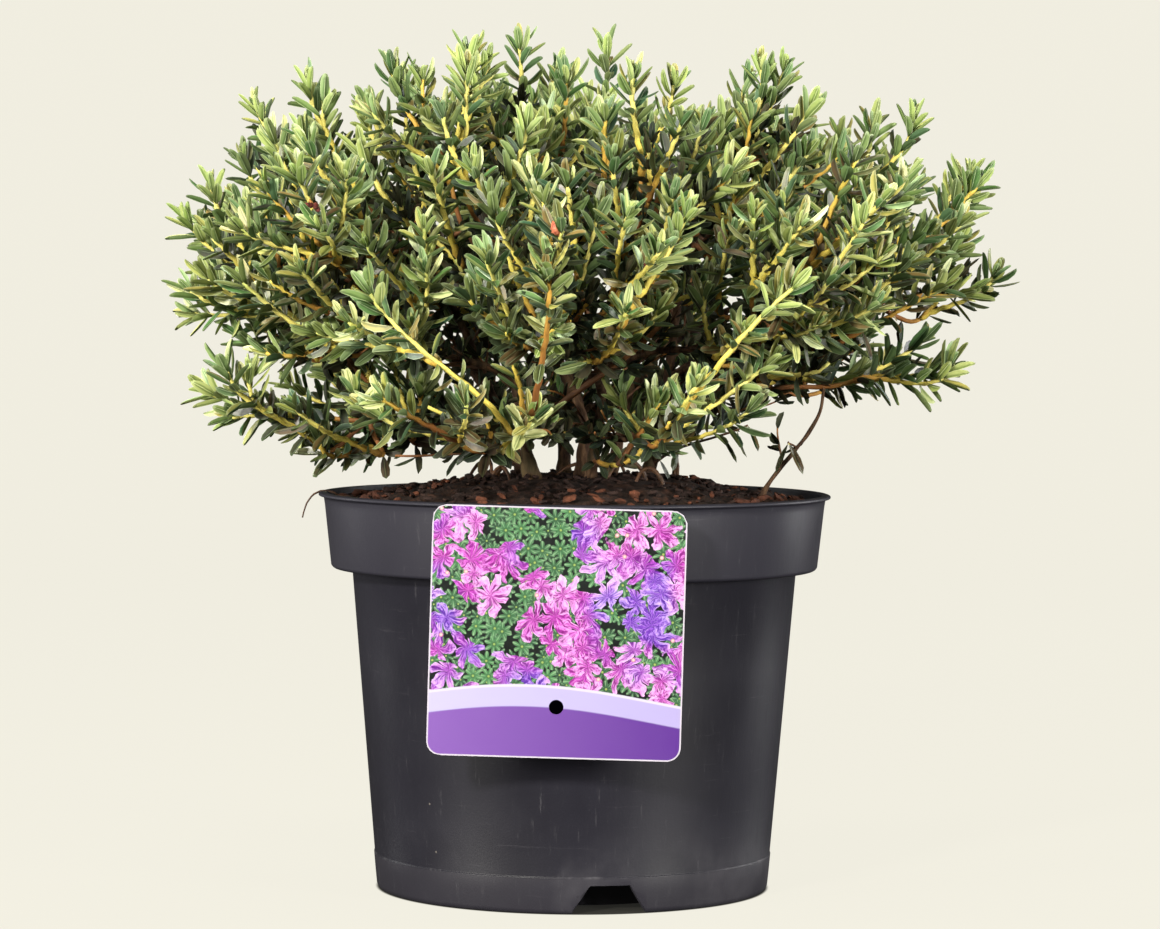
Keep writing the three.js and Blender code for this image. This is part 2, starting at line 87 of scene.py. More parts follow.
# How many times further apart tips stand on some masses, and a height that some bear none under.
THINNED = {
    "foliage_skirt_1": 1.5, "foliage_skirt_2": 1.25, "foliage_skirt_6": 1.2,
    "foliage_skirt_7": 1.5, "foliage_shoulder_1": 1.25,
}
LOWEST_TIP = {
    "foliage_skirt_1": 175, "foliage_skirt_2": 170, "foliage_skirt_5": 150, "foliage_skirt_6": 150,
}

# The plumes that lead along the crown's edge, seen from the front, from the lower left over the
# top to the lower right: each one's tip and lean, by the mass that it grows from.
LEADERS = {
    "foliage_skirt_5": [
        ((-119, -36, 156), (-0.9, -0.1, -0.1)),
        ((-127, -29, 168), (-0.9, 0.0, 0.4)),
        ((-114, -52, 180), (-0.3, -0.1, 1.0)),
        ((-103, -50, 178), (0.2, -0.1, 1.0)),
        ((-84, -38, 157), (-0.15, -0.1, 1.0)),
    ],
    "foliage_shoulder_6": [
        ((-134, -8, 191), (-1.0, 0.0, 0.1)),
        ((-133, -16, 203), (-0.7, -0.1, 0.6)),
        ((-131, -30, 227), (-0.5, -0.2, 0.8)),
        ((-122, -12, 239), (-0.2, -0.1, 1.0)),
    ],
    "foliage_shoulder_5": [
        ((-117, 48, 251), (-0.3, 0.1, 1.0)),
        ((-114, 42, 267), (-0.5, 0.0, 0.9)),
    ],
    "foliage_upper_4": [
        ((-91, 7, 274), (-0.15, 0.0, 1.0)),
        ((-82, 3, 268), (0.3, 0.0, 1.0)),
    ],
    "foliage_upper_5": [
        ((-61, -40, 276), (-0.2, -0.1, 1.0)),
        ((-49, -42, 274), (0.1, -0.1, 1.0)),
        ((-35, -47, 281), (-0.05, -0.1, 1.0)),
        ((-27, -43, 277), (0.3, -0.1, 1.0)),
    ],
    "foliage_top": [
        ((-20, -4, 287), (-0.1, 0.0, 1.0)),
        ((-4, 10, 279), (0.4, 0.0, 1.0)),
    ],
    "foliage_upper_3": [((9, 40, 288), (-0.1, 0.1, 1.0))],
    "foliage_upper_6": [
        ((19, -58, 274), (0.15, -0.1, 1.0)),
        ((31, -54, 272), (0.05, 0.0, 1.0)),
    ],
    "foliage_upper_1": [
        ((60, -5, 280), (-0.1, 0.0, 1.0)),
        ((71, -2, 279), (0.35, 0.0, 1.0)),
        ((80, -19, 265), (0.5, -0.1, 0.9)),
    ],
    "foliage_shoulder_2": [
        ((85, 42, 255), (0.2, 0.0, 1.0)),
        ((91, 50, 260), (0.0, 0.1, 1.0)),
        ((103, 55, 264), (0.1, 0.1, 1.0)),
        ((116, 50, 266), (0.05, 0.0, 1.0)),
    ],
    "foliage_shoulder_1": [
        ((132, 4, 246), (0.2, 0.0, 1.0)),
        ((138, 0, 241), (0.6, 0.0, 0.8)),
        ((131, -29, 227), (0.6, -0.1, 0.6)),
        ((134, 6, 222), (0.6, 0.0, 0.7)),
        ((142, -2, 211), (0.5, 0.0, 1.0)),
        ((137, -8, 198), (1.0, -0.1, 0.0)),
    ],
    "foliage_skirt_1": [
        ((124, -39, 182), (0.35, -0.1, 0.9)),
        ((126, -30, 173), (0.9, -0.1, 0.1)),
    ],
}
# The deepest places of the hollows between those plumes, across and up.
HOLLOWS = [
    (-114, 183), (-125, 215), (-118, 243), (-96, 230), (-77, 262), (-47, 266), (-8, 271),
    (3, 266), (25, 266), (41, 263), (49, 262), (83, 256), (92, 253), (106, 254), (120, 239),
    (129, 217), (122, 190),
]
EDGE_MARGIN = 2.5  # how far the other plumes stay under the edge through leaders and hollows

# Places tried for tips on each mass, and about how many shoots make a whorl and whorls a fork.
TRIES = 900
FORKING = dict(shoots=2.7, whorls=2.4)
# How far leaves stand out past a shoot's apex and how long the shoot is, at the surface and inside.
OUTER_SHOOT = dict(leaf_reach=7.8, length=(26, 44))
INNER_SHOOT = dict(leaf_reach=5.0, length=(13, 22))
# Thin side shoots low on every stem and bough: how many, and from where to where along its line.
LOW_TWIGS = dict(per_limb=9, on_sucker=1, along=(0.1, 0.85), length=(12, 30), radius=(0.5, 0.3))
# Side wood that stands out at the foot of the crown: the limb and height that it leaves, its end
# and its way there, radii, ages (brown 0 to yellow 1) and the leaves that it bears.
SIDE_WOOD = [
    dict(limb="stem_front_left", height=148, end=(27, -58, 188), way=(0.6, -0.2, 0.7),
         radius=(1.15, 0.85), age=(0.1, 0.3), leaves=None),
    dict(limb="stem_front_left", height=142, end=(-58, -42, 145), way=(-1.0, -0.2, 0.05),
         radius=(0.6, 0.4), age=(0.08, 0.3), leaves="low"),
    dict(limb="stem_front_left", height=147, end=(-49, -52, 162), way=(-0.9, -0.3, 0.5),
         radius=(0.8, 0.6), age=(0.3, 0.75), leaves="low"),
    dict(limb="stem_front_right", height=141, end=(14, -54, 143), way=(0.6, -0.8, 0.1),
         radius=(0.8, 0.85), age=(0.15, 0.6), leaves="low"),
    dict(limb="stem_right", height=140.5, end=(56, -38, 155.5), way=(1.0, -0.2, 0.45),
         radius=(0.6, 0.35), age=(0.0, 0.12), leaves="hanging"),
    dict(limb="stem_sucker", height=148, end=(69.5, -33.5, 150), way=(0.6, -0.6, 0.2),
         radius=(0.35, 0.3), age=(0.0, 0.2), leaves="pair"),
]
# Two plumes of their own at the front, each from its foot to its tip.
FRONT_PLUMES = [((14, -54, 143), (27, -64, 164)), ((16, -56, 144), (62, -70, 176.5))]
# Long shoots out before the crown: near which point on the wood they start, tip, way, and the
# age of their skin from foot to tip.
LONG_PLUMES = [
    ((-24, -84, 152), (-63, -106, 197), (-0.5, -0.25, 0.8), (0.5, 0.95)),
    ((-44, -92, 172), (-82, -66, 185), (-0.9, -0.2, 0.35), (0.5, 0.95)),
    ((34, -80, 172), (67, -104, 200), (0.7, -0.25, 0.6), (0.45, 0.95)),
    ((20, -96, 192), (34, -104, 222), (0.35, -0.15, 0.9), (0.45, 0.95)),
    ((-3, -90, 168), (-8, -130, 207), (-0.05, -0.25, 1.0), (0.3, 0.5)),
]
PLUME_MASS = "foliage_skirt_7"  # the mass at the front that those plumes go with
ARCHES = dict(count=11, ring=(6, 50), span=(9, 26), rise=(3, 9), radius=(0.9, 0.5))
ROOTLET = [(-78.0, 2.0, 129.5), (-85.0, 1.5, 134.0), (-89.5, 0.5, 130.5), (-90.8, 0.0, 122.5)]
BUD = dict(place=(-6.0, -132.0, 217.0), length=5.0, radius=1.8)
SEED_HEADS = [dict(place=(22.5, -112.0, 206.5), pods=5), dict(place=(-80.0, -96.0, 225.0), pods=4)]
POD = dict(length=4.4, radius=0.85)
# Barked limbs: rings, how far a bough starts inside its stem, how much slimmer than the CAD node
# the bark lies, how rough it is, and its fine and coarse grain, in radians for each millimetre.
LIMB = dict(
    sides=14, step=1.3, buried=1.6, slimness=0.88, roughness=0.1, fine_grain=2.6, coarse_grain=0.5,
    grain_stretch=(1, 1, 0.3),
)
# The stem that leads to each of the upper masses. A bough of its own name leads to each other one.
STEM_OF = {
    "foliage_top": "stem_main",
    "foliage_upper_1": "stem_right",
    "foliage_upper_2": "stem_back_right",
    "foliage_upper_3": "stem_back",
    "foliage_upper_4": "stem_left",
    "foliage_upper_5": "stem_front_left",
    "foliage_upper_6": "stem_front_right",
}


# ---------------------------------------------------------------- arrays and meshes


def unit(v):
    """v over its length, along the last axis."""
    return v / np.maximum(np.linalg.norm(v, axis=-1, keepdims=True), 1e-9)


def mix(a, b, share):
    """The straight line from a at share 0 to b at share 1."""
    return a + (b - a) * share


def smooth_step(low, high, x):
    """0 below low, 1 above high, and 3t^2 - 2t^3 between."""
    t = np.clip((x - low) / (high - low), 0, 1)
    return t * t * (3 - 2 * t)


def circle(count):
    """Even angles once round."""
    return 2 * math.pi * np.arange(count) / count


def polar(radius, angle, height):
    """Points at r cos a, r sin a and a height."""
    sides = radius * np.cos(angle), radius * np.sin(angle), height
    return np.stack(np.broadcast_arrays(*sides), -1)


def wave_noise(points, frequency, seed, waves=7):
    """Smooth noise from about -1 to 1: a sum of sine waves in seeded directions."""
    rng = np.random.default_rng(seed)
    direction = unit(rng.normal(size=(waves, 3))) * frequency * rng.uniform(0.6, 1.5, (waves, 1))
    phase = rng.uniform(0, 2 * math.pi, waves)
    return np.sin(points @ direction.T + phase).sum(-1) / math.sqrt(2 * waves) * 1.2


def bezier(ends, t):
    """Points and tangents of cubic curves at shares t: ends is (..., 4, 3), t is (..., n)."""
    a, b, c, d = (ends[..., i, None, :] for i in range(4))
    t = t[..., None]
    s = 1 - t
    point = s**3 * a + 3 * s * s * t * b + 3 * s * t * t * c + t**3 * d
    tangent = 3 * s * s * (b - a) + 6 * s * t * (c - b) + 3 * t * t * (d - c)
    return point, unit(tangent)


def grid_faces(rows, columns, closed=False):
    """Quads of a grid of rows x columns vertices; closed joins the last column to the first."""
    last = columns if closed else columns - 1
    i, j = np.meshgrid(np.arange(rows - 1), np.arange(last), indexing="ij")
    a = i * columns + j
    b = i * columns + (j + 1) % columns
    return np.stack([a, b, b + columns, a + columns], -1).reshape(-1, 4)


def stack_faces(rings, sides):
    """Triangles and quads of a stack of rings, closed by a foot point and a head point.

    The rings' vertices come first, then the foot point and the head point.
    """
    k = np.arange(sides)
    after, last, foot = (k + 1) % sides, (rings - 1) * sides, rings * sides
    bottom = np.stack([np.full(sides, foot), after, k], -1)
    top = np.stack([np.full(sides, foot + 1), last + k, last + after], -1)
    return [np.concatenate([bottom, top]), grid_faces(rings, sides, closed=True)]


def copies(faces, count, step):
    """Face tables of one shape, repeated with its vertex numbers moved on by step each time."""
    moved = (np.arange(count) * step)[:, None, None]
    return [(table[None] + moved).reshape(-1, table.shape[1]) for table in faces]


def make_piece(name, vertices, faces, material, slot, replaced=(), uv=None, marks=None):
    """A mesh from vertices in millimetres and tables of faces, riding on the root.

    uv holds one pair for each corner, in the order of the tables. marks numbers the vertices: an
    edge between two that share a number above 0 is a crease.
    """
    mesh = bpy.data.meshes.new(name)
    corners = np.concatenate([table.ravel() for table in faces])
    sizes = np.concatenate([np.full(len(table), table.shape[1]) for table in faces])
    starts = np.concatenate([[0], np.cumsum(sizes)[:-1]])
    mesh.vertices.add(len(vertices))
    mesh.vertices.foreach_set("co", (vertices * MM).astype(np.float32).ravel())
    mesh.loops.add(len(corners))
    mesh.loops.foreach_set("vertex_index", corners.astype(np.int32))
    mesh.polygons.add(len(sizes))
    mesh.polygons.foreach_set("loop_start", starts.astype(np.int32))
    mesh.update(calc_edges=True)
    mesh.polygons.foreach_set("use_smooth", np.ones(len(sizes), bool))
    if uv is not None:
        layer = mesh.uv_layers.new(name="OFBake")
        layer.data.foreach_set("uv", uv.astype(np.float32).ravel())
    if marks is not None:
        edges = np.empty(len(mesh.edges) * 2, np.int32)
        mesh.edges.foreach_get("vertices", edges)
        one, other = marks[edges.reshape(-1, 2)].T
        mesh.edges.foreach_set("use_edge_sharp", (one == other) & (one > 0))
    mesh.validate()
    mesh.materials.append(material)
    piece = bpy.data.objects.new(name, mesh)
    bpy.context.scene.collection.objects.link(piece)
    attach(piece, "root")
    if replaced:
        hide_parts(*replaced)
    return piece


def flatten(piece):
    """Leaves every face of a piece with its own hard edges."""
    piece.data.polygons.foreach_set("use_smooth", np.zeros(len(piece.data.polygons), bool))


def spokes(tangents, sides):
    """Unit vectors from each point of each path to its ring's vertices, carried without twist."""
    first = tangents[:, 0]
    side = unit(np.cross(first, np.where(np.abs(first[:, 2:]) > 0.9, [1.0, 0, 0], UP)))
    normals = [side]
    for t in np.moveaxis(tangents[:, 1:], 1, 0):
        side = unit(side - (side * t).sum(-1, keepdims=True) * t)
        normals.append(side)
    normal = np.stack(normals, 1)
    binormal = np.cross(tangents, normal)
    angle = circle(sides)[:, None]
    return np.cos(angle) * normal[:, :, None] + np.sin(angle) * binormal[:, :, None]


def tubes(paths, tangents, radii, sides):
    """Closed tubes: rings of the given radii round each path, with a point at either end.

    paths is (count, rings, 3); radii is (count, rings, sides) or broadcasts to it.
    """
    count, rings = paths.shape[:2]
    radii = np.broadcast_to(radii, (count, rings, sides))[..., None]
    skin = paths[:, :, None] + spokes(tangents, sides) * radii
    ends = np.stack([paths[:, 0], paths[:, -1]], 1)
    vertices = np.concatenate([skin.reshape(count, -1, 3), ends], 1).reshape(-1, 3)
    return vertices, copies(stack_faces(rings, sides), count, rings * sides + 2)


def tube_map(rings, sides):
    """Each corner's share round and along a tube: one table for triangles and one for quads."""
    k, at = np.arange(sides), np.linspace(0, 1, rings)
    caps = []
    for order, heights in (((k + 0.5, k + 1, k), (0, 0.005, 0.005)),
                           ((k + 0.5, k, k + 1), (1, 0.995, 0.995))):
        caps.append(np.stack(np.broadcast_arrays(np.stack(order, -1) / sides, heights), -1))
    around = np.stack([k, k + 1, k + 1, k], -1) / sides
    along = np.stack([at[:-1], at[:-1], at[1:], at[1:]], -1)[:, None]
    sheet = np.stack(np.broadcast_arrays(around, along), -1).reshape(-1, 4, 2)
    return np.concatenate(caps), sheet


# ---------------------------------------------------------------- materials


def srgb(text):
    """A colour from six hex digits, as linear red, green and blue."""
    value = [int(text[i : i + 2], 16) / 255 for i in (0, 2, 4)]
    return tuple(v / 12.92 if v <= 0.04045 else ((v + 0.055) / 1.055) ** 2.4 for v in value)


def evenly(colours):
    """Colours as the stops of a ramp, at even steps."""
    return [(i / (len(colours) - 1), colour) for i, colour in enumerate(colours)]


class Skin:
    """A material in the making: short calls for the nodes that its pattern is worked out by."""

    def __init__(self, name, roughness=0.5, specular=0.5):
        """A new material of one shader, with its roughness and specular level."""
        self.material = bpy.data.materials.new(name)
        self.material.use_nodes = True
        self.tree = self.material.node_tree
        self.shader = self.tree.nodes["Principled BSDF"]
        self.set("Roughness", roughness)
        self.set("Specular IOR Level", specular)

    def wire(self, socket, value):
        """Sets a socket to a number or a colour, or links it to another node's output."""
        if isinstance(value, bpy.types.NodeSocket):
            self.tree.links.new(value, socket)
            return
        if isinstance(value, str):
            value = srgb(value)
        socket.default_value = (*value, 1.0) if socket.type == "RGBA" else value

    def set(self, name, value):
        """Sets or links one of the shader's own sockets."""
        self.wire(self.shader.inputs[name], value)

    def node(self, kind, *values, settings=(), **named):
        """A node with its settings, its first inputs in order and its named inputs."""
        made = self.tree.nodes.new("ShaderNode" + kind)
        for key, value in dict(settings).items():
            setattr(made, key, value)
        for socket, value in zip(made.inputs, values):
            self.wire(socket, value)
        for key, value in named.items():
            self.wire(made.inputs[key], value)
        return made

    def math(self, operation, *values):
        """One step of arithmetic on numbers."""
        return self.node("Math", *values, settings={"operation": operation}).outputs[0]

    def times(self, a, b):
        """a multiplied by b."""
        return self.math("MULTIPLY", a, b)

    def vector(self, operation, *values, output="Vector"):
        """One step of arithmetic on vectors."""
        made = self.node("VectorMath", *values, settings={"operation": operation})
        return made.outputs[output]

    def split(self, vector):
        """A vector's three parts."""
        return self.node("SeparateXYZ", vector).outputs

    def blend(self, factor, a, b, how="MIX"):
        """Colour a at factor 0 and b at factor 1, or a multiplied by b."""
        made = self.node("Mix", factor, settings={"data_type": "RGBA", "blend_type": how})
        self.wire(made.inputs[6], a)
        self.wire(made.inputs[7], b)
        return made.outputs[2]

    def span(self, value, low, high, to_low=0.0, to_high=1.0, smooth=False):
        """value mapped from low..high to to_low..to_high, held at both ends."""
        settings = {"interpolation_type": "SMOOTHSTEP" if smooth else "LINEAR"}
        made = self.node("MapRange", value, low, high, to_low, to_high, settings=settings)
        return made.outputs[0]

    def ramp(self, value, stops):
        """A colour ramp of (place, colour) stops."""
        made = self.node("ValToRGB", value)
        elements = made.color_ramp.elements
        while len(elements) < len(stops):
            elements.new(0.5)
        for element, (place, colour) in zip(elements, stops):
            element.position = place
            element.color = (*srgb(colour), 1.0)
        return made.outputs[0]

    def noise(self, vector, scale, detail=3.0, roughness=0.55, stretch=None, output=0):
        """Noise from 0 to 1 on a vector, which may be stretched first."""
        if stretch:
            vector = self.node("Mapping", Vector=vector, Scale=stretch).outputs[0]
        made = self.node("TexNoise", Vector=vector, Scale=scale, Detail=detail, Roughness=roughness)
        return made.outputs[output]

    def place(self):
        """The place on the object, in metres."""
        return self.node("TexCoord").outputs["Object"]

    def map_place(self):
        """The place on the piece's own map."""
        return self.node("UVMap", settings={"uv_map": "OFBake"}).outputs[0]

    def finish(self, colour, rough=None, relief=None, strength=0.0, depth=0.0):
        """Lays colour, roughness and relief on the shader, and gives the material."""
        self.set("Base Color", colour)
        if rough is not None:
            self.set("Roughness", rough)
        if relief is not None:
            bump = self.node("Bump", Height=relief, Strength=strength, Distance=depth)
            self.set("Normal", bump.outputs[0])
        return self.material


def leaf_material(name, upper, under, pale, gloss, shine=0.6):
    """Leaf skin: 16 tints in the cells of the atlas, each crossed by the leaf's own marks.

    Across, from the middle out: a pale midrib, partly its own colour and partly painted highlight,
    painted shade along the furrow, the blade and a painted highlight on the rolled margin. Along: a
    yellow petiole, painted shade toward the foot and a painted highlight at the tip. Cells in the
    upper two rows are upper faces, and the lower two rows hold their undersides.
    """
    columns, rows = LEAF_ATLAS
    s = Skin(name, gloss, shine)
    uv = s.map_place()
    x, y = (s.times(side, float(cells)) for side, cells in zip(s.split(uv), LEAF_ATLAS))
    row = s.math("FLOOR", y)
    is_upper = s.math("GREATER_THAN", row, rows / 2 - 0.5)
    tint_row = s.math("MODULO", row, rows / 2)
    tint = s.math("MULTIPLY_ADD", tint_row, float(columns), s.math("FLOOR", x))
    share = s.math("DIVIDE", s.math("ADD", tint, 0.5), float(TINTS))
    across = s.math("ABSOLUTE", s.math("SUBTRACT", s.math("FRACT", x), 0.5))
    along = s.math("FRACT", y)
    blotch = s.noise(uv, 42.0, 4.0, 0.6, stretch=(1.0, 0.45, 1.0))
    scales = s.noise(uv, 260.0, 2.0, 0.7)
    above = s.blend(s.span(blotch, 0.58, 0.78, 0.0, 0.22), s.ramp(share, evenly(upper)), pale)
    dusted = s.span(scales, 0.4, 0.7, 0.0, 0.3)
    below = s.blend(dusted, s.ramp(share, evenly(under)), (0.6, 0.5, 0.3), "MULTIPLY")
    skin = s.blend(is_upper, below, above)
    # Painted shade along either side of the midrib, as if the furrow lay in shade.
    middle = s.span(across, 0.03, 0.07, smooth=True)
    furrow_shade = s.times(middle, s.span(across, 0.26, 0.1, 0.0, 0.85, smooth=True))
    skin = s.blend(furrow_shade, skin, (0.32, 0.4, 0.26), "MULTIPLY")
    # Painted shade: darker toward the leaf's foot, as if shaded by the leaves round it.
    foot = s.span(along, 0.55, 0.08, 0.0, 0.9, smooth=True)
    skin = s.blend(foot, skin, (0.32, 0.38, 0.22), "MULTIPLY")
    # Painted highlights at the tip and on the rolled margin; the pale midrib is partly its own
    # colour and partly painted highlight.
    tip = s.span(along, 0.78, 1.0, 0.0, 0.25, smooth=True)
    margin_highlight = s.span(across, 0.38, 0.46, 0.0, 0.34, smooth=True)
    rib_and_highlight = s.span(across, 0.05, 0.02, 0.0, 0.36, smooth=True)
    light = s.math("MAXIMUM", s.math("MAXIMUM", tip, margin_highlight), rib_and_highlight)
    skin = s.blend(light, skin, pale)
    petiole = s.span(along, 0.14, 0.04, 0.0, 0.85, smooth=True)
    skin = s.blend(petiole, skin, "C9BE5E")
    rough = s.math("MULTIPLY_ADD", blotch, 0.3, gloss - 0.06)
    rough = s.math("ADD", rough, s.span(is_upper, 0.0, 1.0, 0.16, 0.0))
    relief = s.math("MULTIPLY_ADD", scales, 0.35, blotch)
    return s.finish(skin, rough, relief, 0.25, 0.0002)


def twig_material(name):
    """Twig skin by age up the map: brown bark, then orange, then the yellow of this year."""
    s = Skin(name, 0.55, 0.35)
    uv = s.map_place()
    grain = s.noise(uv, 30.0, 4.0, 0.65, stretch=(1.0, 3.0, 1.0))
    unevenness = s.times(s.math("SUBTRACT", grain, 0.5), 0.16)
    age = s.math("ADD", s.split(uv)[1], unevenness)
    skin = s.ramp(age, [
        (0.0, "2A1C14"), (0.2, "5A3C28"), (0.36, "8E5A2A"), (0.5, "C69E42"),
        (0.62, "DECC58"), (0.88, "DDD678"), (1.0, "94B058"),
    ])
    fleck = s.noise(uv, 90.0, 3.0, 0.6)
    skin = s.blend(s.span(fleck, 0.5, 0.64, 0.0, 0.7), skin, "7E5226")
    return s.finish(skin, s.span(grain, 0.3, 0.7, 0.45, 0.7), fleck, 0.35, 0.0003)


def bark_material(name):
    """Old bark: brown with grey-green bloom, long dark cracks and pale flakes."""
    s = Skin(name, 0.85, 0.25)
    place = s.place()
    cracks = s.noise(place, 420.0, 5.0, 0.65, stretch=(1.0, 1.0, 0.22))
    stops = [(0.3, "1C130E"), (0.45, "3C2A1E"), (0.6, "5C442F"), (0.78, "82664A")]
    bloom = s.span(s.noise(place, 70.0, 3.0, 0.5), 0.52, 0.7, 0.0, 0.45)
    skin = s.blend(bloom, s.ramp(cracks, stops), "4E4C2C")
    return s.finish(skin, s.span(cracks, 0.3, 0.7, 0.95, 0.7), cracks, 0.6, 0.0006)


def pot_material(name):
    """Charcoal moulded plastic: satin grain, rubbed scratches, dust and a scuffed foot line, with
    painted light that makes the collar and the foot band lighter.
    """
    s = Skin(name, 0.45, 0.24)
    place = s.place()
    height = s.split(place)[2]
    foot_top, collar_low = POT["foot_height"] * MM, POT["collar_bottom"] * MM
    cloud = s.noise(place, 14.0, 4.0, 0.6)
    grain = s.noise(place, 1400.0, 2.0, 0.5)
    scratches = s.noise(place, 60.0, 5.0, 0.75, stretch=(9.0, 9.0, 0.9))
    level = s.noise(place, 45.0, 5.0, 0.75, stretch=(0.8, 0.8, 16.0))
    skin = s.blend(s.span(cloud, 0.35, 0.65), "17161D", "1C1B23")
    # Painted light: the collar is painted lighter than the wall, as if it caught more light from
    # above.
    collar = s.span(height, collar_low - 0.3 * MM, collar_low + 0.7 * MM, 0.0, 0.75)
    skin = s.blend(collar, skin, "2D2C34")
    skin = s.blend(s.span(scratches, 0.62, 0.74, 0.0, 0.22), skin, "6A686C")
    skin = s.blend(s.span(level, 0.63, 0.75, 0.0, 0.14), skin, "77747A")
    from_line = s.math("ABSOLUTE", s.math("SUBTRACT", height, foot_top))
    worn = s.span(s.noise(place, 38.0, 5.0, 0.75), 0.55, 0.75, 0.0, 0.35)
    rubbed = s.times(s.span(from_line, 0.7 * MM, 0.2 * MM, smooth=True), worn)
    skin = s.blend(rubbed, skin, "838185")
    # Painted light: the foot band below the foot line is painted lighter.
    foot_band_painted_light = s.span(height, foot_top + 0.1 * MM, foot_top - 0.5 * MM, 0.0, 0.3)
    skin = s.blend(foot_band_painted_light, skin, "3C3A40")
    splash = s.span(s.noise(place, 26.0, 4.0, 0.65), 0.5, 0.72, 0.0, 0.16)
    splash = s.times(splash, s.span(height, 30 * MM, 8 * MM, smooth=True))
    skin = s.blend(splash, skin, "68666A")
    speck = s.node("TexVoronoi", Vector=place, Scale=140.0).outputs["Distance"]
    dust = s.times(s.span(speck, 0.07, 0.03), s.span(s.noise(place, 33.0), 0.6, 0.66))
    skin = s.blend(s.times(dust, 0.6), skin, "A59C90")
    rubs = s.span(scratches, 0.55, 0.75, 0.0, 0.15)
    rough = s.math("ADD", s.span(cloud, 0.3, 0.7, 0.36, 0.5), rubs)
    relief = s.math("MULTIPLY_ADD", scratches, 1.5, grain)
    return s.finish(skin, rough, relief, 0.12, 0.00015)


def soil_material(name, stops, scale):
    """Damp bark compost: crumbs from near black to reddish brown."""
    s = Skin(name, 0.9, 0.25)
    crumbs = s.noise(s.place(), scale, 5.0, 0.7)
    rough = s.span(crumbs, 0.3, 0.7, 0.95, 0.75)
    return s.finish(s.ramp(crumbs, stops), rough, crumbs, 0.8, 0.0012)


def dry_material(name, dark, light, roughness):
    """Bud scales or dry pods: two tones in small flecks."""
    s = Skin(name, roughness, 0.3)
    fleck = s.noise(s.place(), 1100.0, 3.0, 0.6)
    skin = s.blend(s.span(fleck, 0.35, 0.65), dark, light)
    return s.finish(skin, None, fleck, 0.5, 0.0003)


def paper_material(name, colour):
    """Pale paper sweep that glows, so that shadows on it stay faint; the glow stops under the pot,
    a painted shadow there.
    """
    s = Skin(name, 0.9, 0.0)
    x, y, _ = s.split(s.place())
    away = s.vector("LENGTH", s.node("CombineXYZ", x, y).outputs[0], output="Value")
    # No glow inside the pot's foot radius: a painted shadow under the pot.
    edge = POT["foot_radius"] * MM
    glow = s.span(away, edge - 0.7 * MM, edge + 0.7 * MM, 0.02, 0.985, smooth=True)
    s.set("Emission Color", colour)
    s.set("Emission Strength", glow)
    return s.finish(tuple(0.03 * c for c in colour))


# ---------------------------------------------------------------- reading the frame


def node_mesh(name):
    """A CAD node's merged vertices in millimetres and its triangles."""
    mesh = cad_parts[name].data
    co = np.empty(len(mesh.vertices) * 3, np.float32)
    mesh.vertices.foreach_get("co", co)
    mesh.calc_loop_triangles()
    triangles = np.empty(len(mesh.loop_triangles) * 3, np.int32)
    mesh.loop_triangles.foreach_get("vertices", triangles)
    vertices, merged = np.unique(np.round(co.reshape(-1, 3) / MM, 2), axis=0, return_inverse=True)
    return vertices.astype(float), merged.reshape(-1)[triangles].reshape(-1, 3)


def limb_line(name, sides=6):
    """Centres and radii of a limb's rings, foot first: rings are steps of edges from its tip."""
    vertices, triangles = node_mesh(name)
    far = vertices[np.argmax(np.linalg.norm(vertices - FAN, axis=1))]
    level = np.full(len(vertices), -1)
    level[np.argsort(np.linalg.norm(vertices - far, axis=1))[:sides]] = 0
    step = 0
    while (level < 0).any():
        touched = triangles[(level[triangles] == step).any(1)].ravel()
        fresh = touched[level[touched] < 0]
        if not len(fresh):
            break
        step += 1
        level[fresh] = step
    centres, radii = [], []
    for k in range(step, -1, -1):
        members = vertices[level == k]
        if len(members) < sides - 1:
            continue
        centre = members.mean(0)
        centres.append(centre)
        radii.append(np.linalg.norm(members - centre, axis=1).mean())
    return np.array(centres), np.array(radii)


def resample(points, values, spacing):
    """A smooth line through points, cut at even spacing, with the values carried along.

    Between two points it is the cubic that has the slope of the points round it at each.
    """
    lengths = np.concatenate([[0], np.cumsum(np.linalg.norm(np.diff(points, axis=0), axis=1))])
    at = np.linspace(0, lengths[-1], max(int(lengths[-1] / spacing), 4) + 1)
    slopes = np.gradient(points, lengths, axis=0)
    k = np.clip(np.searchsorted(lengths, at, side="right") - 1, 0, len(points) - 2)
    gap = (lengths[k + 1] - lengths[k])[:, None]
    t = (at - lengths[k])[:, None] / gap
    line = (2 * t**3 - 3 * t**2 + 1) * points[k] + (t**3 - 2 * t**2 + t) * gap * slopes[k]
    line = line + (3 * t**2 - 2 * t**3) * points[k + 1] + (t**3 - t**2) * gap * slopes[k + 1]
    return line, np.interp(at, lengths, values)


def soil_height(radius):
    """Level in the middle, then falling to the edge."""
    edge = POT["collar_top_radius"] - POT["wall"] - 0.6
    share = np.clip((radius - SOIL["plateau_radius"]) / (edge - SOIL["plateau_radius"]), 0, 1)
    return mix(SOIL["plateau_height"], SOIL["edge_height"], share)


# ---------------------------------------------------------------- branching

rng = np.random.default_rng(20)
masses = sorted(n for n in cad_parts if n.startswith("foliage"))
mass_meshes = {name: node_mesh(name) for name in masses}
mass_trees = {
    name: BVHTree.FromPolygons([Vector(v) for v in vertices], triangles.tolist())
    for name, (vertices, triangles) in mass_meshes.items()
}
limb_names = sorted(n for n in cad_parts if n.startswith(("stem", "bough")))
limbs = {name: limb_line(name) for name in limb_names}
shoots = []  # this year's leafy shoots
twigs = []  # older wood between a limb's end and the shoots


def tier_of(mass):
    """The tier of a mass: the second word of its name."""
    return TIERS[mass.split("_")[1]]


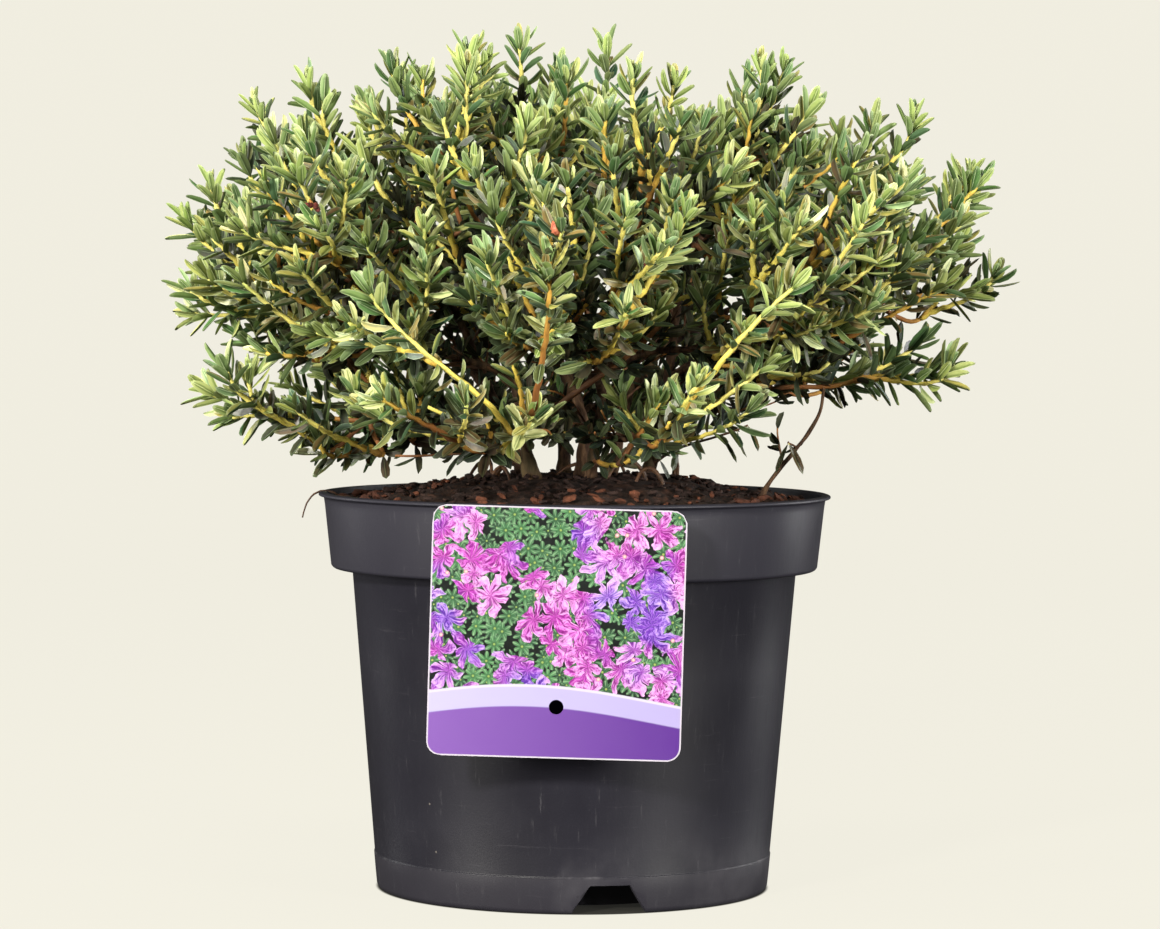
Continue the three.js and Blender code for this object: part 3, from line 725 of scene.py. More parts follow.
def branch(start, start_way, end, end_way, **values):
    """A curve that leaves and arrives along the given ways, with its other values."""
    pull = 0.36 * np.linalg.norm(end - start)
    inner = [start + unit(start_way) * pull, end - unit(end_way) * pull]
    return {"ends": np.array([start, *inner, end]), **values}


def depth_in(tree, point):
    """How deep a point lies under a mass's surface, below zero outside it."""
    point = Vector(point)
    near, normal, _, distance = tree.find_nearest(point)
    return distance if (near - point).dot(normal) > 0 else -distance


def is_open(name, point, normal, reach=7.0):
    """Whether a surface point of a mass looks out on open air and not into a neighbour."""
    ahead = point + normal * reach
    return all(depth_in(tree, ahead) < 0 for other, tree in mass_trees.items() if other != name)


def surface_samples(name, count, peaks=24):
    """Area-weighted random points on a mass and their normals, its outermost corners first."""
    vertices, triangles = mass_meshes[name]
    a, b, c = (vertices[triangles[:, i]] for i in range(3))
    cross = np.cross(b - a, c - a)
    area = np.linalg.norm(cross, axis=1)
    pick = rng.choice(len(triangles), count, p=area / area.sum())
    u, v = rng.uniform(size=(2, count, 1))
    flip = u + v > 1
    u, v = np.where(flip, 1 - u, u), np.where(flip, 1 - v, v)
    points = a[pick] + u * (b - a)[pick] + v * (c - a)[pick]
    corner_normals = np.zeros_like(vertices)
    for i in range(3):
        np.add.at(corner_normals, triangles[:, i], cross)
    far = np.argsort(-np.linalg.norm(vertices - FAN, axis=1))[:peaks]
    normals = np.concatenate([unit(corner_normals[far]), unit(cross)[pick]])
    return np.concatenate([vertices[far], points]), normals


def seen_from_eye(points):
    """Across and up from the fan's point, as they show from the eye on the plane of the axis."""
    nearness = -EYE[1] / (points[:, 1:2] - EYE[1])
    return (EYE + (points - EYE) * nearness - FAN)[:, [0, 2]]


def inside_edge(points):
    """Points drawn in toward the fan's point where they would stand out past the crown's edge.

    The edge is a line round the fan's point through leaders and hollows, reach against angle.
    """
    leading = [tip for plumes in LEADERS.values() for tip, _ in plumes]
    corners = np.array([[x, 0, z] for x, z in HOLLOWS] + leading, float)
    flat_edge, flat = seen_from_eye(corners), seen_from_eye(points)
    angle_edge = np.arctan2(flat_edge[:, 1], flat_edge[:, 0])
    order = np.argsort(angle_edge)
    reach = np.linalg.norm(flat_edge, axis=1)[order] - EDGE_MARGIN
    limit = np.interp(np.arctan2(flat[:, 1], flat[:, 0]), angle_edge[order], reach)
    share = np.minimum(1, limit / np.linalg.norm(flat, axis=1))
    return FAN + (points - FAN) * share[:, None]


def stands_clear(point, taken, spacing):
    """Whether no tip taken so far lies within the spacing of a point."""
    places = np.array([t["tip"] for t in taken])
    return not taken or np.linalg.norm(places - point, axis=1).min() >= spacing


def pick_tips(name, spacing, lowest_normal, taken):
    """Open surface points of a mass at least spacing apart, from each other and from taken."""
    points, normals = surface_samples(name, TRIES)
    points = inside_edge(points)
    lowest = LOWEST_TIP.get(name, 0)
    chosen = []
    for point, normal, out in zip(points, normals, unit(points - FAN)):
        if normal @ out < -0.15 or normal[2] < lowest_normal or point[2] < lowest:
            continue
        if stands_clear(point, taken + chosen, spacing) and is_open(name, point, normal):
            chosen.append({"tip": point, "normal": normal, "mass": name, "inner": False})
    return chosen


def pick_inner(name, count, taken, spacing=11, depth=(9, 26)):
    """Points deep in a mass for the short shoots that fill it."""
    vertices, _ = mass_meshes[name]
    low, high = vertices.min(0), vertices.max(0)
    chosen = []
    for _ in range(TRIES):
        point = rng.uniform(low, high)
        if len(chosen) == count:
            break
        deep = depth[0] < depth_in(mass_trees[name], point) < depth[1]
        if deep and stands_clear(point, taken + chosen, spacing):
            way = unit(point - FAN)
            chosen.append({"tip": point, "normal": way, "mass": name, "inner": True})
    return chosen


def clusters(points, size, rounds=8):
    """Groups of about size places each: farthest points seed, then means settle."""
    count = max(1, round(len(points) / size))
    seeds = [0]
    for _ in range(count - 1):
        distance = np.linalg.norm(points[:, None] - points[seeds][None], axis=2).min(1)
        seeds.append(int(distance.argmax()))
    centres = points[seeds]
    for _ in range(rounds):
        group = np.linalg.norm(points[:, None] - centres[None], axis=2).argmin(1)
        centres = np.array(
            [points[group == g].mean(0) if (group == g).any() else centres[g] for g in range(count)]
        )
    return [np.flatnonzero(group == g) for g in range(count) if (group == g).any()]


def set_base(tip, root, lowest):
    """Gives a tip its way, its apex, and the base that its shoot leaves the wood at."""
    outward = unit(tip["tip"] - FAN)
    leads = "way" in tip
    way = unit(outward + 0.30 * tip["normal"] + 0.22 * UP + 0.12 * rng.normal(size=3))
    way = tip.setdefault("way", way)
    shoot = INNER_SHOOT if tip["inner"] else OUTER_SHOOT
    tip["apex"] = tip["tip"] - way * shoot["leaf_reach"]
    reach = min(rng.uniform(*shoot["length"]), 0.75 * np.linalg.norm(tip["tip"] - root))
    back = unit(way + (1.6 if leads else 0.45) * unit(tip["apex"] - root))
    tip["base"] = tip["apex"] - back * reach
    tip["base"][2] = max(tip["base"][2], lowest - 5)


def grow_mass(name, root, root_way, tips):
    """Boughs on from a limb's end: forks of twigs, then a whorl of shoots at the end of each."""
    lowest = LOWEST_TIP.get(name, 0)
    for tip in tips:
        set_base(tip, root, lowest)
    nodes = []
    for group in clusters(np.array([t["base"] for t in tips]), FORKING["shoots"]):
        members = [tips[k] for k in group]
        place = np.mean([t["base"] for t in members], 0)
        way = unit(np.mean([t["way"] for t in members], 0) + 0.6 * unit(place - root))
        nodes.append((place, way, members))
    for group in clusters(np.array([place for place, _, _ in nodes]), FORKING["whorls"]):
        centre = np.mean([nodes[k][0] for k in group], 0)
        fork = mix(root, centre, 0.5) + rng.normal(size=3) * 1.5
        fork[2] = max(fork[2], lowest - 8)
        fork_way = unit(root_way + 1.2 * unit(centre - root))
        start = root - root_way * 2.0
        wood = dict(radius=(1.0, 0.85), age=(0.02, 0.2), mass=name)
        twigs.append(branch(start, root_way, fork, fork_way, **wood))
        for place, way, members in (nodes[k] for k in group):
            wood = dict(radius=(0.85, 0.75), age=(0.2, 0.44), mass=name)
            twigs.append(branch(fork, fork_way, place, way, **wood))
            for tip in members:
                leave = way + 0.9 * unit(tip["apex"] - place)
                more = dict(inner=tip["inner"], mass=name)
                shoots.append(branch(place, leave, tip["apex"], tip["way"], **more))


def nearest_wood(point):
    """The nearest point to a point on any shoot or twig, and the wood's direction there."""
    ends = np.stack([b["ends"] for b in shoots + twigs])
    place, way = bezier(ends, np.broadcast_to(np.linspace(0.2, 1, 12), (len(ends), 12)))
    k = np.linalg.norm(place - point, axis=2).argmin()
    return place.reshape(-1, 3)[k], way.reshape(-1, 3)[k]


def grow_crown():
    """Tips on every mass, leaders first, then the wood and the shoots that lead to them."""
    tips = []
    for name, plumes in LEADERS.items():
        for tip, lean in plumes:
            tip, lean = np.array(tip, float), unit(np.array(lean))
            tips.append({"tip": tip, "normal": lean, "way": lean, "mass": name, "inner": False})
    for name in masses:
        tier = tier_of(name)
        spacing = tier["spacing"] * THINNED.get(name, 1)
        tips += pick_tips(name, spacing, tier["lowest_normal"], tips)
    for name in masses:
        tips += pick_inner(name, tier_of(name)["inner"], tips)
    for name in masses:
        centres, _ = limbs[STEM_OF.get(name, name.replace("foliage", "bough"))]
        own = [t for t in tips if t["mass"] == name]
        if own:
            grow_mass(name, centres[-1], unit(centres[-1] - centres[-2]), own)


def grow_plumes():
    """The plumes and long shoots that stand out before the crown."""
    more = dict(inner=False, mass=PLUME_MASS)
    for foot, tip in FRONT_PLUMES:
        foot, tip = np.array(foot, float), np.array(tip, float)
        way = unit(tip - foot + [0, 0, 6])
        shoots.append(branch(foot, way - [0, 0, 0.15], tip, way, fresh=True, **more))
    for foot, tip, way, age in LONG_PLUMES:
        start, start_way = nearest_wood(np.array(foot, float))
        apex, way = np.array(tip, float), unit(np.array(way))
        leave = start_way + 1.2 * unit(apex - start)
        shoots.append(branch(start, leave, apex, way, fresh=age[1] > 0.9, age=age, **more))


def on_limb(name, height):
    """The point of a limb's centre line at a height, and the line's direction there."""
    centres, _ = limbs[name]
    k = min(max(int(np.searchsorted(centres[:, 2], height)), 1), len(centres) - 1)
    low, high = centres[k - 1], centres[k]
    return mix(low, high, (height - low[2]) / (high[2] - low[2])), unit(high - low)


def grow_low_twigs():
    """Side shoots at seeded places on each limb, slanting off it and never down."""
    wood = []
    for name in limb_names:
        centres, _ = limbs[name]
        for _ in range(LOW_TWIGS["on_sucker" if name == "stem_sucker" else "per_limb"]):
            place = rng.uniform(*LOW_TWIGS["along"]) * (len(centres) - 1)
            k = int(place)
            start = mix(centres[k], centres[k + 1], place - k)
            way = unit(centres[k + 1] - centres[k])
            slant = way + 1.2 * unit(np.cross(way, rng.normal(size=3)))
            slant[2] = max(slant[2], 0.1)
            slant = unit(slant)
            end = start + slant * rng.uniform(*LOW_TWIGS["length"])
            end_way = slant + 0.5 * rng.normal(size=3) + 0.3 * UP
            more = dict(radius=LOW_TWIGS["radius"], age=(0.03, rng.uniform(0.15, 0.4)))
            wood.append(branch(start, slant, end, end_way, leaves="low", **more))
    return wood


def grow_side_wood():
    """The side wood, each piece from its place on its limb to its own end."""
    wood = []
    for spec in SIDE_WOOD:
        start, way = on_limb(spec["limb"], spec["height"])
        end = np.array(spec["end"], float)
        leave = unit(end - start) + 0.4 * way
        wood.append({**spec, **branch(start, leave, end, np.array(spec["way"], float))})
    return wood


def grow_arches():
    """Bare loops of wood at the stems' feet: out of the compost, up, and back into it."""
    loops = []
    for _ in range(ARCHES["count"]):
        azimuth, heading = rng.uniform(0, 2 * math.pi, 2)
        start = polar(rng.uniform(*ARCHES["ring"]), azimuth, 0.0)
        end = start + polar(rng.uniform(*ARCHES["span"]), heading, 0.0)
        rise = 1.33 * rng.uniform(*ARCHES["rise"])
        ends = np.array([start, mix(start, end, 0.15), mix(start, end, 0.85), end])
        ground = soil_height(np.linalg.norm(ends[:, :2], axis=1))
        ends[:, 2] = ground + np.array([-2.0, rise, rise, -2.0])
        if np.linalg.norm(end[:2]) < ARCHES["ring"][1] + 12:
            loops.append({"ends": ends, "radius": ARCHES["radius"], "age": (0.0, 0.1)})
    return loops


def spur_to(point, length):
    """A short spur from the nearest wood to the foot of something that stands at a point."""
    point = np.array(point, float)
    start, way = nearest_wood(point)
    end_way = unit(way + unit(point - start) + 0.3 * UP)
    foot = point - end_way * length / 2
    return branch(start, way + (foot - start), foot, end_way, radius=(0.5, 0.45), age=(0.4, 0.3))


grow_crown()
grow_plumes()
low_wood = grow_low_twigs() + grow_side_wood()

# ---------------------------------------------------------------- leaves

# Rows of a leaf from petiole to tip: place along it and half-width as a share of the widest.
LEAF_ROWS = np.array(
    [[0.0, 0.0], [0.08, 0.2], [0.28, 0.76], [0.56, 1.0], [0.83, 0.78], [0.96, 0.41], [1.0, 0.0]]
)
LEAF_THICKNESS = 0.3
RIM, MIDRIB, UNDER_RIB = 1, 2, 3  # crease marks
FOLD_SIGNS = (1, 1, -1)  # two leaves in three fold up along the midrib, and one folds down
# Sprays gone olive: their tint, their share, and from where to where across it grows, in mm.
OLIVE = dict(tint=9, share=0.4, across=(30, 100))

# Each kind of leaf on its branch, in degrees and millimetres: how many, their places back from
# the apex (by_share: as a share of the branch), each range for the first leaf and for the last,
# the chance that a leaf is there, how much its way strays and how much it lifts.
PLUME = {
    "bud": dict(
        count=3, place=(0.0, 0.9), tilt=((4, 14), (14, 30)), length=((4.5, 6.0), (6.5, 8.6)),
        width=((1.6, 2.0), (2.2, 2.8)), incurve=((0.0, 0.04), (-0.04, 0.06)), keep=1.0,
    ),
    "tuft": dict(
        count=8, place=(0.5, 5.6), tilt=((16, 36), (48, 70)), length=((9.2, 11.4), (10.0, 12.2)),
        width=((2.6, 3.2), (2.9, 3.8)), incurve=((-0.04, 0.1), (0.0, 0.18)), keep=0.94, stray=0.1,
    ),
    "whorl": dict(
        count=7, place=(6.0, 14.5), tilt=((46, 70), (54, 82)), length=((9.2, 12.0), (8.8, 11.6)),
        width=((2.9, 3.8), (3.1, 4.1)), incurve=((0.0, 0.2), (0.0, 0.22)), keep=0.9, stray=0.12,
    ),
    "stem": dict(
        count=14, place=(14.5, 41.0), tilt=((48, 78), (56, 96)), length=((8.5, 11.8), (6.5, 9.8)),
        width=((3.0, 4.0), (3.0, 4.3)), incurve=((-0.06, 0.2), (-0.1, 0.16)), keep=0.8, stray=0.15,
    ),
}
INNER_PLUME = dict(
    count=14, place=(0.0, 14.0), tilt=((8, 20), (60, 85)), length=((7.0, 9.0), (8.0, 11.5)),
    width=((2.2, 2.8), (3.0, 3.8)), incurve=((-0.05, 0.1), (-0.1, 0.15)), keep=0.9,
)
OLD_WOOD = dict(
    count=9, place=(0.04, 0.85), by_share=True, tilt=((45, 65), (60, 88)), keep=0.6,
    length=((8.0, 11.5), (6.5, 10.0)), width=((3.0, 4.0), (3.2, 4.4)),
    incurve=((-0.1, 0.1), (-0.15, 0.1)),
)
LOW_WOOD = dict(
    count=9, place=(0.0, 0.75), by_share=True, tilt=((15, 35), (50, 80)), keep=0.8,
    length=((6.0, 8.5), (5.5, 9.0)), width=((2.0, 2.8), (2.3, 3.4)),
    incurve=((-0.1, 0.1), (-0.1, 0.1)),
)
HANGING = dict(
    count=5, place=(0.0, 0.6), by_share=True, tilt=((20, 50), (60, 90)), keep=1.0, lift=-2.2,
    length=((9.5, 12.0), (8.5, 11.0)), width=((2.4, 3.2), (2.4, 3.2)),
    incurve=((-0.05, 0.1), (-0.05, 0.1)),
)


def leaf_template(rows):
    """Faces, map places and crease marks of one leaf: a top sheet and an underside on one rim.

    Vertices: foot, then left rim, midrib and right rim at each row of the top sheet, the tip,
    and the middle line of the underside.
    """
    inner_rows = len(rows) - 2
    first, tip = 0, 1 + inner_rows * 3
    under = tip + 1 + np.arange(inner_rows)
    top = 1 + np.arange(inner_rows * 3).reshape(inner_rows, 3)
    left, middle, right = top.T
    triangles = [
        [first, middle[0], left[0]],
        [first, right[0], middle[0]],
        [left[-1], middle[-1], tip],
        [middle[-1], right[-1], tip],
        [first, left[0], under[0]],
        [first, under[0], right[0]],
        [left[-1], tip, under[-1]],
        [under[-1], tip, right[-1]],
    ]
    i = np.arange(inner_rows - 1)
    quads = [
        np.stack([left[i], middle[i], middle[i + 1], left[i + 1]], -1),
        np.stack([middle[i], right[i], right[i + 1], middle[i + 1]], -1),
        np.stack([left[i], left[i + 1], under[i + 1], under[i]], -1),
        np.stack([under[i], under[i + 1], right[i + 1], right[i]], -1),
    ]
    count = tip + 1 + inner_rows
    across, along, marks = np.zeros(count), np.zeros(count), np.full(count, RIM)
    across[left], across[right] = -1, 1
    along[top] = rows[1:-1, :1]
    along[tip] = 1
    along[under] = rows[1:-1, 0]
    marks[middle], marks[under] = MIDRIB, UNDER_RIB
    faces = [np.array(triangles), np.concatenate(quads)]
    return {
        "faces": faces,
        "is_top": [np.arange(len(table)) < len(table) // 2 for table in faces],
        "across": across,
        "along": along,
        "half_width": np.interp(along, rows[:, 0], rows[:, 1]),
        "marks": marks,
        "under": under,
    }


def leaf_vertices(leaf, foot, way, face, length, width, channel, bend):
    """Leaf sheets: along the way t, w(t) s to the side, and up the face normal by the channel.

    The channel rises as |s| to either rim, the blade bends as t^2, and the underside's middle
    line hangs a little below the top one.
    """
    side = unit(np.cross(way, face))
    normal = np.cross(side, way)
    t, s = leaf["along"], leaf["across"]
    half_width = 0.5 * width[:, None] * leaf["half_width"]
    reach = (length[:, None] * t)[..., None] * way[:, None]
    spread = (half_width * s)[..., None] * side[:, None]
    rise = channel[:, None] * half_width * np.abs(s) + (bend * length)[:, None] * t**2
    rise[:, leaf["under"]] -= LEAF_THICKNESS
    return foot[:, None] + reach + spread + rise[..., None] * normal[:, None]


def atlas_uv(leaf, tints):
    """Corner places on the atlas: each leaf's own tint cell, upper rows for its top side."""
    columns, rows = LEAF_ATLAS
    column, row = (part[:, None, None] for part in (tints % columns, tints // columns))
    tables = []
    for faces, is_top in zip(leaf["faces"], leaf["is_top"]):
        x = column + 0.5 + 0.46 * leaf["across"][faces]
        y = row + np.where(is_top, rows // 2, 0)[:, None] + 0.03 + 0.94 * leaf["along"][faces]
        tables.append(np.stack([x / columns, y / rows], -1).reshape(-1, 2))
    return np.concatenate(tables)


def leaf_piece(name, leaf, leaves, material, replaced=()):
    """All leaves of one kind and place as one piece."""
    keys = ("foot", "way", "face", "length", "width", "channel", "bend")
    vertices = leaf_vertices(leaf, *(leaves[key] for key in keys))
    count, step = vertices.shape[:2]
    faces = copies(leaf["faces"], count, step)
    uv, marks = atlas_uv(leaf, leaves["tint"]), np.tile(leaf["marks"], count)
    make_piece(name, vertices.reshape(-1, 3), faces, material, "foliage", replaced, uv, marks)


def between(ends, share):
    """A pair (first, last) of values, or of (low, high) pairs, run from first to last by share."""
    first, last = np.array(ends, float)
    return mix(first, last, share[..., None] if first.ndim else share)


def leaves_on(branches, tier, seed, rank=0):
    """Leaves of one kind, set round each branch by the golden angle.

    A leaf's way is cos(tilt) of the twig's direction and sin(tilt) of the way out from it, with
    some lift and stray, and its face turns up the twig, square to that way.
    """
    local = np.random.default_rng(seed)
    count, slots = len(branches), tier["count"]
    share = np.linspace(0, 1, slots)
    ends = np.stack([b["ends"] for b in branches])
    chord = np.linalg.norm(ends[:, 3] - ends[:, 0], axis=1)[:, None]
    back = between(tier["place"], share)[None] + 0.25 * local.normal(size=(count, slots))
    at = 1 - back / chord if not tier.get("by_share") else 1 - back
    point, tangent = bezier(ends, np.clip(at, 0, 1))
    side = unit(np.cross(tangent, UP + 1e-3))
    other = np.cross(side, tangent)
    phase = np.arange(count)[:, None] * 2.4 + GOLDEN_ANGLE * (rank + np.arange(slots))
    phase = phase + 0.25 * local.normal(size=phase.shape)
    out = np.cos(phase)[..., None] * side + np.sin(phase)[..., None] * other

    def draw(key):
        """A value of its own for each leaf, from low to high at the leaf's place in its kind."""
        low, high = between(tier[key], share).T
        return mix(low, high, local.uniform(size=(count, slots)))

    tilt = np.radians(draw("tilt"))
    way = np.cos(tilt)[..., None] * tangent + np.sin(tilt)[..., None] * out
    stray_way = tier.get("stray", 0.06) * local.normal(size=way.shape)
    way = unit(way + tier.get("lift", 0.12) * UP + stray_way)
    face = tangent + 0.3 * UP + 0.12 * local.normal(size=way.shape)
    face = unit(face - (face * way).sum(-1, keepdims=True) * way)
    size = local.uniform(0.86, 1.1, (count, 1))
    tint = np.broadcast_to(local.integers(0, TINTS, (count, 1)), (count, slots)).copy()
    turned = smooth_step(*OLIVE["across"], ends[:, 3, 0]) * OLIVE["share"]
    tint[local.uniform(size=count) < turned] = OLIVE["tint"]
    stray = local.uniform(size=(count, slots)) < 0.5
    tint[stray] = local.integers(0, TINTS, stray.sum())
    length, width = size * draw("length"), size * draw("width")
    fold = local.choice(FOLD_SIGNS, (count, slots))
    channel = fold * local.uniform(0.3, 0.95, (count, slots))
    bend = draw("incurve")
    kept = (local.uniform(size=(count, slots)) < tier["keep"]) & (at > 0.05)
    result = dict(
        foot=point, way=way, face=face, length=length, width=width, channel=channel, bend=bend,
        tint=tint, branch=np.broadcast_to(np.arange(count)[:, None], (count, slots)),
    )
    return {key: value[kept] for key, value in result.items()}


def on_branches(leaves, picks):
    """The rows of a table of leaves whose branch is picked: picks has a yes or no for each."""
    own = np.asarray(picks)[leaves["branch"]]
    return {key: value[own] for key, value in leaves.items()}


def together(*groups):
    """Leaf tables joined end to end."""
    return {key: np.concatenate([g[key] for g in groups]) for key in groups[0]}


fine_leaf = leaf_template(LEAF_ROWS)
plain_leaf = leaf_template(LEAF_ROWS[[0, 2, 3, 4, 6]])
outer = [s for s in shoots if not s["inner"]]
inner = [s for s in shoots if s["inner"]]
# The golden angle runs on from kind to kind, so each kind starts at the count of those before it.
ranks = np.cumsum([0] + [tier["count"] for tier in PLUME.values()])
plume_leaves = {
    name: leaves_on(outer, tier, 101 + k, ranks[k]) for k, (name, tier) in enumerate(PLUME.items())
}
# A shoot's vigour from 0 to 1 decides which of its leaves are young, grown or deep green.
vigour = np.random.default_rng(61).uniform(size=len(outer))
vigour[[bool(s.get("fresh")) for s in outer]] = 1.0


def by_vigour(*parts):
    """Leaves of some kinds, each on the shoots whose vigour lies from low to high."""
    groups = []
    for kind, low, high in parts:
        picks = (vigour >= low) & (vigour <= high)
        groups.append(on_branches(plume_leaves[kind], picks))
    return together(*groups)


young = by_vigour(("bud", 0, 1), ("tuft", 0.22, 1), ("whorl", 0.7, 1))
grown = by_vigour(("tuft", 0, 0.22), ("whorl", 0.3, 0.7), ("stem", 0.78, 1))
deep = by_vigour(("whorl", 0, 0.3), ("stem", 0, 0.78))

# The pieces' regions: the top of the crown, its front and its back, as sets of masses.
high = {n for n in masses if n.startswith(("foliage_top", "foliage_upper"))}
front = {n for n in masses if mass_meshes[n][0].mean(0)[1] < 0} - high
regions = {"crown": high, "front": front, "back": set(masses) - front - high}

UNDER_YOUNG = "84A04E B8C876 527A40 9AA85A 6C9060 CAD484".split()
UNDER_GROWN = "58783A 86985A 3E6436 707E48 4A6E4C".split()
# UNDER_OLD and OLD are near black: partly the dark of old leaves, partly painted shade for the
# crown's shaded inside, where these leaves grow.
UNDER_OLD = "34341F 423B25 2D311D".split()
YOUNG = "86A04A CFCF80 48723C B4B862 A0924C 4E7438 DCDC9A 709A66".split()
GROWN = "40562A 96964C 22442A 60703A 8A703C 345A40 80843A 28341E".split()
DEEP = "1E2612 464622 182A1A 50502A 543E22 243826 34341A 181A0E".split()
OLD = "161E10 262E18 14241A 323820 3A2A1A 202814".split()
leaf_young = leaf_material("leaf_young", YOUNG, UNDER_YOUNG, "DAE2B8", 0.34)
leaf_grown = leaf_material("leaf_grown", GROWN, UNDER_GROWN, "C0D0A4", 0.3)
leaf_deep = leaf_material("leaf_deep", DEEP, UNDER_GROWN, "7C966E", 0.3)
leaf_old_and_shade = leaf_material("leaf_old_and_shade", OLD, UNDER_OLD, "4E6038", 0.5, 0.35)

leaf_kinds = [
    ("young", young, outer, leaf_young, fine_leaf),
    ("grown", grown, outer, leaf_grown, fine_leaf),
    ("deep", deep, outer, leaf_deep, fine_leaf),
    ("inner", leaves_on(inner, INNER_PLUME, 111), inner, leaf_old_and_shade, plain_leaf),
    ("old", leaves_on(twigs, OLD_WOOD, 112), twigs, leaf_old_and_shade, plain_leaf),
]
for region_name, region in regions.items():
    for kind, leaves, branches, skin, leaf in leaf_kinds:
        own = on_branches(leaves, [b["mass"] in region for b in branches])
        leaf_piece("leaves_{}_{}".format(kind, region_name), leaf, own, skin, sorted(region))
for kind, tier, seed, skin in (
    ("low", LOW_WOOD, 113, leaf_old_and_shade),
    ("hanging", HANGING, 114, leaf_deep),
    ("pair", {**HANGING, "count": 2}, 115, leaf_deep),
):
    own = leaves_on([w for w in low_wood if w["leaves"] == kind], tier, seed)
    leaf_piece("leaves_" + kind, plain_leaf, own, skin)

# ---------------------------------------------------------------- twigs and shoots

# A leafy shoot: radii at foot and tip, the ages of its skin there, and how many have gone dull.
SHOOT_SKIN = dict(
    radius=(1.05, 0.62), foot_age=(0.3, 0.6), tip_age=(0.86, 0.98), dull_share=0.22, dulling=0.32,
)
twig_skin = twig_material("twig_skin")


def branch_piece(name, branches, radii, ages, rings, sides, knobs, replaced=()):
    """Tubes along branches; leaf cushions swell the skin as cos^3 waves that turn as it climbs.

    The map runs round each branch and up by the age of its skin.
    """
    radii, ages = np.array(radii), np.array(ages)
    share = np.linspace(0, 1, rings)
    ends = np.stack([b["ends"] for b in branches])
    points, tangents = bezier(ends, np.broadcast_to(share, (len(branches), rings)))
    cushion = 1 + knobs * np.cos(circle(sides) - GOLDEN_ANGLE * np.arange(rings)[:, None]) ** 3
    radius = mix(radii[:, :1], radii[:, 1:], share)[:, :, None] * cushion
    vertices, faces = tubes(points, tangents, radius, sides)
    uv = []
    for table in tube_map(rings, sides):
        age = mix(ages[:, :1, None], ages[:, 1:, None], table[..., 1])
        uv.append(np.stack(np.broadcast_arrays(table[..., 0], age), -1).reshape(-1, 2))
    make_piece(name, vertices, faces, twig_skin, "bark", replaced, np.concatenate(uv))


for region_name, region in regions.items():
    own = [s for s in shoots if s["mass"] in region]
    local = np.random.default_rng(7)
    radii = np.array([SHOOT_SKIN["radius"]]) * local.uniform(0.85, 1.15, (len(own), 1))
    is_dull = local.uniform(size=len(own)) < SHOOT_SKIN["dull_share"]
    ages = [local.uniform(*SHOOT_SKIN[end], len(own)) for end in ("foot_age", "tip_age")]
    ages = np.stack(ages, 1) - is_dull[:, None] * SHOOT_SKIN["dulling"] * np.array([0.5, 1.0])
    ages = [shoot.get("age", age) for shoot, age in zip(own, ages)]
    branch_piece("shoots_" + region_name, own, radii, ages, 18, 6, 0.42, sorted(region))
    own = [t for t in twigs if t["mass"] in region]
    radii, ages = [t["radius"] for t in own], [t["age"] for t in own]
    branch_piece("twigs_" + region_name, own, radii, ages, 12, 7, 0.12, sorted(region))

rootlet = {"ends": np.array(ROOTLET), "radius": (0.45, 0.25), "age": (0.0, 0.05)}
bud_spur = spur_to(BUD["place"], BUD["length"])
pod_spurs = [spur_to(head["place"], POD["length"]) for head in SEED_HEADS]
for name, wood, knobs in (
    ("twigs_low", low_wood + [bud_spur] + pod_spurs, 0.1),
    ("wood_loops", grow_arches() + [rootlet], 0.25),
):
    branch_piece(name, wood, [b["radius"] for b in wood], [b["age"] for b in wood], 14, 6, knobs)


def pods(feet, ways, length, radius):
    """Closed ovoids from each foot along its way: radius sin(pi t)^0.75, fuller near the foot."""
    rings, sides = 9, 8
    share = np.linspace(0.02, 0.98, rings)
    paths = feet[:, None] + ways[:, None] * (share * length)[None, :, None]
    fullness = np.sin(math.pi * share) ** 0.75 * (1.2 - 0.5 * share)
    scales = 1 + 0.14 * np.cos(2 * circle(sides) + math.pi * np.arange(rings)[:, None])
    tangents = np.broadcast_to(ways[:, None], paths.shape)
    return tubes(paths, tangents, radius * fullness[:, None] * scales, sides)


def make_bud_and_seed_heads():
    """One bud on its spur, and seed heads of pods that spread from the ends of theirs."""
    at_end = np.array([1.0])
    foot, way = bezier(bud_spur["ends"], at_end)
    skin = dry_material("bud_scales", "8E4232", "D0805C", 0.5)
    make_piece("flower_bud", *pods(foot, way, BUD["length"], BUD["radius"]), skin, "foliage")
    feet, ways = [], []
    local = np.random.default_rng(31)
    for head, spur in zip(SEED_HEADS, pod_spurs):
        foot, way = bezier(spur["ends"], at_end)
        for _ in range(head["pods"]):
            feet.append(foot[0])
            ways.append(unit(way[0] + 0.55 * local.normal(size=3)))
    skin = dry_material("dry_pods", "2A1512", "6B3026", 0.8)
    shape = pods(np.array(feet), np.array(ways), POD["length"], POD["radius"])
    make_piece("seed_heads", *shape, skin, "bark")


make_bud_and_seed_heads()

# ---------------------------------------------------------------- stems and boughs

bark = bark_material("bark")


